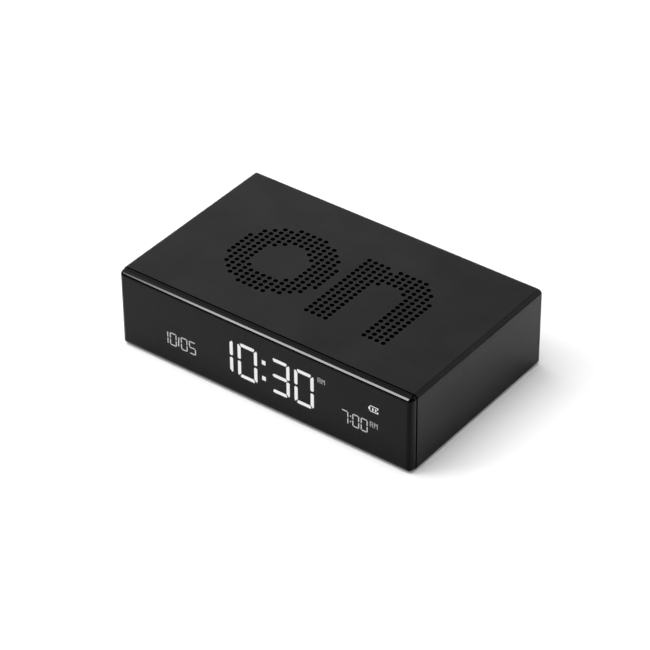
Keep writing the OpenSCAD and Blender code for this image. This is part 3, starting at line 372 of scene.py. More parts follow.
class MeshMaker:
    """Gathers faces in millimetres with shared vertices and a normal at every face corner."""

    def __init__(self, name: str) -> None:
        """Start an empty mesh for the piece of this name."""
        self.name = name
        self.points: list[Point] = []
        self.places: dict[Point, int] = {}
        self.faces: list[list[int]] = []
        self.normals: list[Point] = []
        self.paint = 0
        self.paints: list[int] = []

    def vertex(self, point: Point) -> int:
        """Return the number of a vertex, shared by all faces that meet there."""
        key = tuple(round(value, 4) for value in point)
        if key not in self.places:
            self.places[key] = len(self.points)
            self.points.append(tuple(value * MM for value in point))
        return self.places[key]

    def face(self, corners: Iterable[tuple[Point, Point]]) -> None:
        """Add one face, turned so that it looks along its normals.

        Args:
            corners: Points with their normals, in order round the face.
        """
        kept: list[tuple[int, Point, Point]] = []
        for point, normal in corners:
            number = self.vertex(point)
            if number not in [item[0] for item in kept]:
                kept.append((number, point, normal))
        if len(kept) < 3:
            return
        turn, wanted = Vector(), Vector()
        for (_, here, normal), (_, there, _) in around(kept):
            turn += Vector(here).cross(Vector(there))
            wanted += Vector(normal)
        if turn.dot(wanted) < 0:
            kept.reverse()
        self.faces.append([item[0] for item in kept])
        self.paints.append(self.paint)
        self.normals += [item[2] for item in kept]

    def flat(self, points: Iterable[Point], normal: Point) -> None:
        """Add one flat face that looks along a normal."""
        self.face([(point, normal) for point in points])

    def strip(self, first: Station, second: Station, skip: Collection[int] = ()) -> None:
        """Join two rings of the same count with a band of faces.

        Args:
            first: Ring at one end.
            second: Ring at the other end.
            skip: Numbers of the segments that stay open.
        """
        near, far = first.corners(), second.corners()
        for i, start in enumerate(near):
            j = (i + 1) % len(near)
            if i not in skip:
                self.face([start, near[j], far[j], far[i]])

    def loft(self, stations: Sequence[Station]) -> None:
        """Join a row of rings one after another."""
        for first, second in zip(stations, stations[1:]):
            self.strip(first, second)

    def stair(self, side: int, *places: tuple[Outline, float]) -> None:
        """Add a run of square steps along Y.

        Args:
            side: 1 for outer faces, -1 for inner ones.
            *places: Outline and place along Y at each corner of the run.
        """
        for (first, start), (second, end) in zip(places, places[1:]):
            if start == end:
                tilt = 90 if second.half_w > first.half_w else -90
                self.strip(Station(first, start, tilt), Station(second, end, tilt))
            else:
                self.strip(Station(first, start, 0, side), Station(second, end, 0, side))

    def cap(self, station: Station) -> None:
        """Close a ring with one flat face."""
        self.face(station.corners())

    def prism(self, outline: Sequence[Flat], front: float, back: float) -> None:
        """Add a closed plate between two places along Y.

        Args:
            outline: Corners in X and Z.
            front: Place of one broad face.
            back: Place of the other broad face.
        """
        way = 1.0 if front > back else -1.0
        self.flat([(x, front, z) for x, z in outline], (0.0, way, 0.0))
        self.flat([(x, back, z) for x, z in outline], (0.0, -way, 0.0))
        sides = around(outline)
        area = sum(ax * bz - bx * az for (ax, az), (bx, bz) in sides)
        hand = 1.0 if area > 0 else -1.0
        for (ax, az), (bx, bz) in sides:
            normal = ((bz - az) * hand, 0.0, (ax - bx) * hand)
            self.flat([(ax, front, az), (bx, front, bz), (bx, back, bz), (ax, back, az)], normal)

    def build(self) -> bpy.types.Object:
        """Make the object in the scene.

        Returns:
            The finished piece.
        """
        mesh = bpy.data.meshes.new(self.name)
        mesh.from_pydata(self.points, [], self.faces)
        mesh.polygons.foreach_set("use_smooth", [True] * len(mesh.polygons))
        mesh.polygons.foreach_set("material_index", self.paints)
        mesh.normals_split_custom_set([Vector(normal).normalized() for normal in self.normals])
        mesh.update()
        return stand(self.name, mesh)


def stand(name: str, data: bpy.types.ID) -> bpy.types.Object:
    """Put a new object in the scene.

    Args:
        name: Name of the object.
        data: Its mesh, light or camera.

    Returns:
        The object.
    """
    thing = bpy.data.objects.new(name, data)
    bpy.context.scene.collection.objects.link(thing)
    return thing


def settle(piece: bpy.types.Object, body: str, slot: str, finish: Finish, *nodes: str) -> None:
    """Dress a piece, set it on its body and report it.

    Args:
        piece: The piece.
        body: Body that it moves with.
        slot: Material slot of the piece; not used.
        finish: Its finish.
        *nodes: Solid nodes that it stands for.
    """
    finish.dress(piece)
    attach(piece, body)
    if nodes:
        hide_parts(*nodes)
    log.info("%s: %d faces on %s", piece.name, len(piece.data.polygons), body)


def fillet(outline: Outline, y: float, radius: float, steps: int, way: int) -> list[Station]:
    """Give the rings of a rounded rim.

    Args:
        outline: Outline of the flank.
        y: Place of the rim.
        radius: Radius of the rounding.
        steps: Count of its bands.
        way: -1 where the rim looks to the front, 1 to the rear.

    Returns:
        Rings from the rim to the flank.
    """
    stations = []
    for step in range(steps + 1):
        angle = 90 * step / steps
        drawn = radius * (1 - sin(radians(angle)))
        back = radius * (1 - cos(radians(angle)))
        stations.append(Station(outline.inset(drawn), y - way * back, way * (90 - angle)))
    return stations


@dataclass
class Body:
    """Sizes that the outer pieces share, and the places along Y that follow from them."""

    width: float = 105.0
    depth: float = 64.5
    height: float = 26.5
    wall: float = 2.2
    mouth_wall: float = 1.2
    edge_r: float = 1.3
    inner_r: float = 0.5
    lens_t: float = 2.4
    lens_gap: float = 0.4
    front_mouth: float = 1.5
    cover_t: float = 2.0
    cover_recess: float = 0.8

    def __post_init__(self) -> None:
        """Work out the rims, faces and shoulders from front to rear, and half the height."""
        self.front, self.rear = -self.depth / 2, self.depth / 2
        self.lens_back = self.front + self.lens_t
        self.sleeve_front = self.lens_back + self.lens_gap
        self.shoulder = self.sleeve_front + self.front_mouth
        self.cover_face = self.rear - self.cover_recess
        self.cover_back = self.cover_face - self.cover_t
        self.middle = self.height / 2


# Columns or rows of holes across a straight stroke of a letter, and columns left of the F's stem.
STROKE_HOLES = 4
STEM_START = 2


class Letter(Enum):
    """Letters of the perforated words, with what their grids need.

    Each has its columns, its rows above the body, and the outer and inner disc of its curve, given
    by column, row and radius in pitches.
    """

    O = (15, 0, (7, 7.5, 7.79), (7, 7.65, 3.95))
    N = (13, 0, (7, 4.9, 5.32), (6, 6, 2.6))
    F = (9, 6, (6.9, -0.9, 5.32), (8.2, 0, 2.6))

    def covers(self, column: int, row: int) -> bool:
        """Tell whether the letter has a hole at a grid place.

        Args:
            column: Column from the left of the letter.
            row: Row from the top of a small letter.

        Returns:
            True where there is a hole.
        """
        columns, _, *discs = self.value
        outer, inner = (hypot(column - x, row - y) <= radius for x, y, radius in discs)
        curve = outer and not inner
        if self is Letter.O:
            return curve
        if self is Letter.N:
            leg = row >= STROKE_HOLES and column >= columns - STROKE_HOLES
            return column < STROKE_HOLES or leg or (row <= STROKE_HOLES and curve)
        if row < 0:
            return curve
        return row < STROKE_HOLES or STEM_START <= column < STEM_START + STROKE_HOLES


@dataclass(frozen=True)
class HoleGrid:
    """Grid lines of one perforated face, and the cells with a hole and its middle."""

    lines_x: tuple[float, ...]
    lines_y: tuple[float, ...]
    holes: dict[tuple[int, int], Flat]


@dataclass
class Sleeve:
    """Moulded sleeve with a perforated word on each broad face."""

    body: Body
    hole_d: float = 1.35
    width_count: float = 46.5
    depth_count: float = 31.8
    word_x: float = -0.85
    word_y: float = -0.3
    rows: int = 16
    chamfer: float = 0.03
    rim: float = 0.02
    rim_steps: int = 2
    hole_points: int = 20
    maker: MeshMaker = field(default_factory=lambda: MeshMaker("perforated_sleeve"))

    def word(self, letters: Sequence[Letter], flip: bool) -> HoleGrid:
        """Lay a word out on its hole grid.

        Args:
            letters: Letters from left to right.
            flip: True where the word reads from below.

        Returns:
            The grid with its holes.
        """
        rise = max(letter.value[1] for letter in letters)
        columns = sum(letter.value[0] + 1 for letter in letters) - 1
        cells = set()
        start = 0
        for letter in letters:
            for column in range(letter.value[0]):
                for row in range(-letter.value[1], self.rows):
                    if letter.covers(column, row):
                        place = start + column
                        cells.add((columns - 1 - place if flip else place, self.rows - 1 - row))
            start += letter.value[0] + 1
        lines = []
        for middle, count, pitch in (
            (-self.word_x if flip else self.word_x, columns, self.body.width / self.width_count),
            (self.word_y, self.rows + rise, self.body.depth / self.depth_count),
        ):
            lines.append(tuple(middle + (i - count / 2) * pitch for i in range(count + 1)))
        holes = {(i, j): ((lines[0][i] + lines[0][i + 1]) / 2, (lines[1][j] + lines[1][j + 1]) / 2)
                 for i, j in sorted(cells)}
        return HoleGrid(*lines, holes)

    def circle(self, middle: Flat, radius: float, z: float) -> list[Point]:
        """Return the points round one hole."""
        x, y = middle
        return [(x + run, y + rise, z) for run, rise in wheel(radius, self.hole_points)]

    def holed(self, corners: Sequence[Flat], ring: list[Point], up: float) -> None:
        """Add the faces of one cell round its hole.

        Args:
            corners: Cell corners from the upper right anticlockwise.
            ring: Points of the hole from the right anticlockwise.
            up: Direction of the face, 1 or -1.
        """
        quarter = self.hole_points // 4
        z = ring[0][2]
        for turn, (corner, after) in enumerate(around(corners)):
            arc = [ring[(turn * quarter + step) % self.hole_points] for step in range(quarter + 1)]
            for first, second in zip(arc, arc[1:]):
                self.maker.flat([(*corner, z), first, second], (0.0, 0.0, up))
            self.maker.flat([(*corner, z), arc[-1], (*after, z)], (0.0, 0.0, up))

    def plate(self, grid: HoleGrid, reach: float, ends: Flat, z: float, up: float, radius: float) -> None:
        """Add one broad face with its openings.

        Args:
            grid: Hole grid of the face.
            reach: Half width of the flat face.
            ends: Front and rear end of the face.
            z: Height of the face.
            up: Direction of the face, 1 or -1.
            radius: Radius of the openings.
        """
        normal = (0.0, 0.0, up)
        lines_y = (ends[0], *grid.lines_y, ends[1])
        for outer, inner in ((-reach, grid.lines_x[0]), (reach, grid.lines_x[-1])):
            far_side = [(inner, y, z) for y in reversed(lines_y)]
            self.maker.flat([(outer, ends[0], z), (outer, ends[1], z), *far_side], normal)
        for i, (left, right) in enumerate(zip(grid.lines_x, grid.lines_x[1:])):
            for j, (near, far) in enumerate(zip(lines_y, lines_y[1:])):
                corners = [(right, far), (left, far), (left, near), (right, near)]
                cell = (i, j - 1)
                if cell in grid.holes:
                    self.holed(corners, self.circle(grid.holes[cell], radius, z), up)
                else:
                    self.maker.flat([(*corner, z) for corner in corners], normal)

    def bores(self, grid: HoleGrid, outer: float, inner: float) -> None:
        """Add the chamfer and wall of every hole.

        Args:
            grid: Hole grid of the face.
            outer: Height of the outer face.
            inner: Height of the inner face.
        """
        up = 1.0 if outer > inner else -1.0
        radius = self.hole_d / 2
        for middle in grid.holes.values():
            wide = self.circle(middle, radius + self.chamfer, outer)
            neck = self.circle(middle, radius, outer - up * self.chamfer)
            end = self.circle(middle, radius, inner)
            inward = [(middle[0] - x, middle[1] - y) for x, y, _ in neck]
            for first, second, lean in ((wide, neck, up * radius), (neck, end, 0.0)):
                for i in range(self.hole_points):
                    j = (i + 1) % self.hole_points
                    normals = [(*inward[k], lean) for k in (i, j, j, i)]
                    self.maker.face(zip((first[i], first[j], second[j], second[i]), normals))

    def build(self) -> None:
        """Build the whole sleeve as one closed mesh."""
        b = self.body
        upper = self.word((Letter.O, Letter.N), False)
        lower = self.word((Letter.O, Letter.F, Letter.F), True)
        outer = Outline(b.width / 2, 0.0, b.height, b.edge_r, upper.lines_x, lower.lines_x)
        edge = outer.inset(self.rim)
        mouth = replace(outer.inset(b.mouth_wall), radius=b.inner_r)
        cavity = replace(outer.inset(b.wall), radius=b.inner_r)
        front, rear = b.sleeve_front, b.rear
        ends = (front + self.rim, rear - self.rim)
        inner_ends = (b.shoulder, b.cover_back)
        for y, way in ((front, -1), (rear, 1)):
            self.maker.loft(fillet(outer, y, self.rim, self.rim_steps, way))
        for outline, places, side in ((outer, ends, 1), (cavity, inner_ends, -1)):
            first, second = (Station(outline, y, 0, side) for y in places)
            self.maker.strip(first, second, outline.flats())
        self.maker.stair(-1, (edge, front), (mouth, front), (mouth, b.shoulder), (cavity, b.shoulder))
        self.maker.stair(-1, (cavity, b.cover_back), (mouth, b.cover_back), (mouth, rear), (edge, rear))
        reach = b.width / 2 - b.edge_r
        within = b.width / 2 - b.wall - b.inner_r
        radius = self.hole_d / 2
        for grid, top, ceiling, up in ((upper, b.height, b.height - b.wall, 1.0),
                                       (lower, 0.0, b.wall, -1.0)):
            self.plate(grid, reach, ends, top, up, radius + self.chamfer)
            self.plate(grid, within, inner_ends, ceiling, -up, radius)
            # The hole chamfers and walls take the second material, the painted shade of the holes.
            self.maker.paint = 1
            self.bores(grid, top, ceiling)
            self.maker.paint = 0
        piece = self.maker.build()
        settle(piece, "clock", "sleeve", SATIN_BLACK, "housing_sleeve")
        # The second slot holds the painted shade of the hole walls.
        piece.data.materials.append(BORE_PAINTED_SHADE.material())


@dataclass
class Lens:
    """Polished lens with pillowed front edges."""

    body: Body
    inset: float = 0.1
    corner_r: float = 1.4
    corner_steps: int = 12
    edge_r: float = 1.4
    draft: float = 2.0
    ease: float = 20.0
    back_r: float = 0.15
    back_steps: int = 3
    lip: float = 0.2
    lip_w: float = 0.8
    skin: float = 0.03
    steps: int = 14

    @property
    def face(self) -> float:
        """Return the place of the flat front."""
        return self.body.front + self.skin

    def build(self) -> None:
        """Build the lens as one closed mesh."""
        b = self.body
        edge = Outline(b.width / 2 - self.inset, self.inset, b.height - self.inset, self.corner_r,
                       steps=self.corner_steps)
        back = b.lens_back + self.lip
        lean, turn = radians(self.draft), radians(self.ease)
        drawn, place = 0.0, back - self.back_r
        start = self.face + self.edge_r * (1 - sin(turn))
        flank_r = (place - start) / (sin(turn) - sin(lean))
        stations = []
        for step in range(self.back_steps + 1):
            angle = radians(90 * step / self.back_steps)
            stations.append(Station(edge.inset(self.back_r * (1 - sin(angle))),
                                    back - self.back_r * (1 - cos(angle)),
                                    90 - (90 + self.draft) * step / self.back_steps))
        for radius, first, last in ((flank_r, lean, turn), (self.edge_r, turn, pi / 2)):
            for step in range(1, self.steps + 1):
                angle = first + (last - first) * step / self.steps
                stations.append(Station(
                    edge.inset(drawn + radius * (cos(first) - cos(angle))),
                    place - radius * (sin(angle) - sin(first)), -degrees(angle)))
            drawn += radius * (cos(first) - cos(last))
            place -= radius * (sin(last) - sin(first))
        maker = MeshMaker("pillowed_lens")
        ledge = edge.inset(self.lip_w)
        maker.loft(stations)
        maker.stair(-1, (ledge, b.lens_back), (ledge, back), (edge.inset(self.back_r), back))
        maker.cap(Station(ledge, b.lens_back, 90))
        maker.cap(stations[-1])
        settle(maker.build(), "clock", "lens", POLISHED_LENS, "front_lens")


@dataclass(frozen=True)
class Segments:
    """Cut of the seven-segment figures.

    The corners are trimmed and open by a gap, the level bars stand back from them, the uprights are
    split and nipped at half height, and the middle bar's tips stand back by a share of the width.
    """

    width: float
    gap: float
    trim: float
    back: float
    split: float
    nip: float
    tip: float = 0.7

    LIT = {"0": "abcdef", "1": "bc", "3": "abcdg", "5": "acdfg", "7": "abc"}

    def figure(self, sign: str, place: Box) -> Shapes:
        """Give the lit segments of one figure.

        Args:
            sign: The figure.
            place: Its left, right, foot and head.

        Returns:
            Corners of every lit segment.
        """
        left, right, low, high = place
        middle_x, middle_z = (left + right) / 2, (low + high) / 2
        w, h = (right - left) / 2, (high - low) / 2
        near, far = (self.trim - self.gap) / 2, (self.trim + self.gap) / 2
        inside, deep = w - self.width, self.width + self.gap
        tip, half = w - self.tip * self.width, self.width / 2
        bar = mirrored([(w - self.trim - self.back, h), (w - far - self.back, h - near),
                        (w - deep, h - self.width)])
        post = [(w, h - self.trim), (w - near, h - far), (inside, h - deep),
                (inside, self.split + self.nip), (inside + self.nip, self.split),
                (w - self.nip, self.split), (w, self.split + self.nip)]
        cross = mirrored([(tip - half, half), (tip, 0.0), (tip - half, -half)])
        shapes = {"a": (bar, 1, 1), "b": (post, 1, 1), "c": (post, 1, -1), "d": (bar, 1, -1),
                  "e": (post, -1, -1), "f": (post, -1, 1), "g": (cross, 1, 1)}
        return [[(middle_x + way * x, middle_z + up * z) for x, z in shape]
                for shape, way, up in (shapes[name] for name in self.LIT[sign])]


@dataclass(frozen=True)
class Row:
    """Row of figures between two heights, each figure with its left and right side."""

    cut: Segments
    low: float
    high: float
    places: tuple[tuple[str, float, float], ...]

    def shapes(self) -> Shapes:
        """Return the lit segments of the whole row."""
        return [shape for sign, left, right in self.places
                for shape in self.cut.figure(sign, (left, right, self.low, self.high))]


LARGE_CUT = Segments(1.1, 0.2, 0.84, 0.38, 0.4, 0.3)
SMALL_CUT = Segments(0.3, 0.08, 0.26, 0.1, 0.2, 0.1)


@dataclass
class Display:
    """Lit figures and signs on the lens, where the photo shows them.

    Boxes are given as left, right, low and high. Within a morning mark the A's end, the M's start
    and its dip are given as shares of the mark's width and height.
    """

    lens: Lens
    proud: float = 0.02
    sunk: float = 0.01
    hair: float = 0.01
    time: Row = Row(LARGE_CUT, 7.62, 19.7, (("1", -17.25, -10.25), ("0", -8.45, -1.45),
                                            ("3", 3.31, 10.17), ("0", 11.91, 18.73)))
    date: Row = Row(SMALL_CUT, 7.78, 12.24, (("1", -36.9, -34.36), ("0", -33.7, -31.25),
                                             ("0", -29.6, -27.2), ("5", -26.55, -24.08)))
    alarm: Row = Row(SMALL_CUT, 8.28, 12.74, (("7", 28.45, 30.84), ("0", 32.3, 34.62),
                                              ("0", 35.2, 37.54)))
    time_dots: tuple[Box, ...] = ((0.3, 1.6, 15.75, 17.2), (0.3, 1.6, 10.18, 11.6))
    alarm_dots: tuple[Box, ...] = ((31.48, 31.84, 9.42, 9.78), (31.48, 31.84, 11.3, 11.66))
    slash: tuple[Flat, Flat] = ((-30.56, 8.42), (-30.34, 11.6))
    slash_w: float = 0.34
    marks: tuple[Box, ...] = ((20.14, 22.72, 18.25, 19.95), (38.34, 41.05, 10.98, 12.85))
    mark_line: float = 0.24
    a_end: float = 0.4
    m_start: float = 0.54
    m_dip: float = 0.48
    battery: tuple[Box, ...] = (
        (37.84, 38.2, 17.08, 17.78), (38.2, 38.42, 16.68, 18.28), (38.43, 41.2, 18.28, 18.5),
        (38.43, 41.2, 16.46, 16.68), (40.914, 41.2, 17.82, 18.27), (40.914, 41.2, 16.69, 17.14),
        (39.15, 39.57, 16.94, 17.84), (40.15, 40.57, 16.94, 17.84))

    def plates(self, name: str, shapes: Shapes, finish: Finish) -> None:
        """Set a group of lit shapes on the lens.

        Args:
            name: Name of the piece.
            shapes: Corners of every shape.
            finish: Finish of the group.
        """
        maker = MeshMaker(name)
        for shape in shapes:
            maker.prism(shape, self.lens.face - self.proud, self.lens.face + self.sunk)
        settle(maker.build(), "clock", "panel", finish)

    def letters_am(self, place: Box) -> Shapes:
        """Give the two letters of the morning sign.

        Args:
            place: Left, right, foot and head of the sign.

        Returns:
            Corners of every stroke.
        """
        left, right, low, high = place
        width, half = self.mark_line, self.mark_line / 2
        waist = (low + high) / 2
        a_right = left + self.a_end * (right - left)
        m_left = left + self.m_start * (right - left)
        dip = ((m_left + right) / 2, high - self.m_dip * (high - low))
        inside = (left + width + self.hair, a_right - width - self.hair)
        return [box(left, left + width, low, high), box(a_right - width, a_right, low, high),
                box(*inside, high - width, high), box(*inside, waist - half, waist + half),
                box(m_left, m_left + width, low, high), box(right - width, right, low, high),
                stroke((m_left + width, high - half), dip, width),
                stroke((right - width, high - half), dip, width)]

    def build(self) -> None:
        """Build every group of the display."""
        time = self.time.shapes() + [box(*dot) for dot in self.time_dots]
        date = [*self.date.shapes(), stroke(*self.slash, self.slash_w)]
        alarm = self.alarm.shapes() + [box(*dot) for dot in self.alarm_dots]
        marks = [shape for mark in self.marks for shape in self.letters_am(mark)]
        self.plates("time_figures", time, LIT_FIGURE)
        self.plates("date_figures", date, FINE_FIGURE)
        self.plates("alarm_figures", alarm, FINE_FIGURE)
        self.plates("morning_marks", marks, DIM_FIGURE)
        self.plates("battery_sign", [box(*side) for side in self.battery], LIT_FIGURE)


class KeySign(Enum):
    """Setting buttons, with the places of their middles across the cover."""

    HOUR = -33.0
    MINUTE = -19.0
    ALARM = 19.0
    LIGHT = 33.0


# Printed sign of each button, about the middle of its cap.
KEY_SIGNS: dict[KeySign, Shapes] = {
    KeySign.HOUR: [box(-0.7, -0.42, -0.9, 0.9), box(0.42, 0.7, -0.9, 0.9),
                   box(-0.42, 0.42, -0.14, 0.14)],
    KeySign.MINUTE: [box(-0.95, -0.67, -0.9, 0.9), box(0.67, 0.95, -0.9, 0.9),
                     stroke((-0.67, 0.76), (0.0, -0.35), 0.28),
                     stroke((0.67, 0.76), (0.0, -0.35), 0.28)],
    KeySign.ALARM: [box(-0.3, 0.3, -1.0, -0.75),
                    mirrored([(0.16, 1.0), (0.42, 0.85), (0.6, 0.5), (0.68, 0.0), (0.8, -0.35),
                              (1.0, -0.6)])],
    KeySign.LIGHT: [wheel(0.48, 12), *(stroke(start, end, 0.22) for start, end
                                       in zip(wheel(0.68, 8), wheel(1.05, 8)))],
}


@dataclass
class SettingKey:
    """Rounded cap of one setting button with its flange, stem and printed sign."""

    body: Body
    sign: KeySign
    width: float = 9.0
    height: float = 4.4
    proud: float = 0.5
    crown_r: float = 0.45
    flange: float = 0.8
    flange_t: float = 0.8
    fit: float = 0.1
    stem_d: float = 2.4
    stem_end: float = 27.35
    steps: int = 6
    print_proud: float = 0.015
    print_sunk: float = 0.01

    def build(self) -> None:
        """Build the cap and its sign, and set them on their body."""
        name, x, middle = self.sign.name.lower(), self.sign.value, self.body.middle
        half, stem_r = self.height / 2, self.stem_d / 2
        cap = Outline(self.width / 2, middle - half, middle + half, half, middle=x)
        skirt = cap.inset(-self.flange)
        stem = Outline(stem_r, middle - stem_r, middle + stem_r, stem_r, middle=x)
        face = self.body.cover_face + self.proud
        seat = self.body.cover_back - self.fit
        foot = seat - self.flange_t
        maker = MeshMaker(f"{name}_cap")
        crown = fillet(cap, face, self.crown_r, self.steps, 1)
        maker.cap(crown[0])
        maker.loft([*crown, Station(cap, seat, 0)])
        maker.stair(1, (cap, seat), (skirt, seat), (skirt, foot), (stem, foot), (stem, self.stem_end))
        maker.cap(Station(stem, self.stem_end, -90))
        settle(maker.build(), f"{name}_key", "button", KEY_BLACK, f"{name}_button")
        sign = MeshMaker(f"{name}_sign")
        for shape in KEY_SIGNS[self.sign]:
            sign.prism([(x - run, middle + rise) for run, rise in shape], face + self.print_proud,
                       face - self.print_sunk)
        settle(sign.build(), f"{name}_key", "button", KEY_PRINT)


@dataclass
class SocketContacts:
    """Gold contacts on both faces of the socket tongue."""

    count: int = 12
    pitch: float = 0.5
    width: float = 0.26
    thick: float = 0.04
    length: float = 3.6
    back: float = 0.35
    tongue_t: float = 0.7

    def build(self) -> None:
        """Build the contacts on the tongue where the solid model has it."""
        low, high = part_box("socket_tongue")
        middle = (low.z + high.z) / 2 / MM
        tip = high.y / MM - self.back
        maker = MeshMaker("socket_contacts")
        for side in (-1, 1):
            base = middle + side * self.tongue_t / 2
            for i in range(self.count):
                left = (i - (self.count - 1) / 2) * self.pitch - self.width / 2
                maker.prism(box(left, left + self.width, base, base + side * self.thick), tip,
                            tip - self.length)
        settle(maker.build(), "clock", "copper", GOLD_CONTACT)


@dataclass
class SpeakerSurround:
    """Rubber roll from the basket to the cone, in sectors."""

    sectors: int = 12
    steps: int = 6
    lip_w: float = 2.4
    seat_w: float = 0.6
    roll_r: float = 1.0
    thick: float = 0.3
    roll_steps: int = 12

    def section(self, outer: float) -> list[Flat]:
        """Draw the section through the roll.

        Args:
            outer: Radius of the glued lip.

        Returns:
            Distances from the axis and heights over the rim, counter-clockwise.
        """
        middle = outer - self.lip_w - self.roll_r
        inner = middle - self.roll_r - self.seat_w
        over, under = self.roll_r + self.thick / 2, self.roll_r - self.thick / 2
        foot = asin(self.thick / over)
        parts = [i / self.roll_steps for i in range(self.roll_steps + 1)]
        top = [foot + (pi - 2 * foot) * part for part in parts]
        return [(outer, 0.0), (outer, self.thick),
                *((middle + over * cos(turn), over * sin(turn)) for turn in top),
                (inner, self.thick), (inner, 0.0),
                *((middle - under * cos(pi * part), under * sin(pi * part))
                  for part in parts)]

    def build(self) -> None:
        """Build the sectors where the solid model has the surround."""
        low, high = (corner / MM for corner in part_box("speaker_surround"))
        centre = Vector(((low.x + high.x) / 2, (low.y + high.y) / 2, low.z))
        outer = (high.x - low.x) / 2
        section = self.section(outer)
        width = 2 * pi / self.sectors

        def spot(reach: float, turn: float, height: float = 0.0) -> Point:
            """Return the point at a distance and direction from the axis."""
            return tuple(centre + Vector((reach * cos(turn), reach * sin(turn), height)))

        for number in range(self.sectors):
            maker = MeshMaker(f"surround_{number + 1:02d}")
            turns = [width * (number + i / self.steps) for i in range(self.steps + 1)]
            for here, there in zip(turns, turns[1:]):
                along = (here + there) / 2
                for (ar, az), (br, bz) in around(section):
                    normal = ((bz - az) * cos(along), (bz - az) * sin(along), ar - br)
                    maker.flat([spot(ar, here, az), spot(br, here, bz), spot(br, there, bz),
                                spot(ar, there, az)], normal)
            for turn, way in ((turns[0], 1.0), (turns[-1], -1.0)):
                maker.flat([spot(reach, turn, height) for reach, height in section],
                           (way * sin(turn), -way * cos(turn), 0.0))
            piece = maker.build()
            ROLL_RUBBER.dress(piece)
            middle = width * (number + 0.5)
            rim = outer - self.lip_w
            Vector(spot(rim * cos(width / 2), middle)) * MM
            Vector(spot(rim - 2 * self.roll_r, middle)) * MM
            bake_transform(piece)
            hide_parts("speaker_surround")
            log.info("%s: %d faces", piece.name, len(piece.data.polygons))


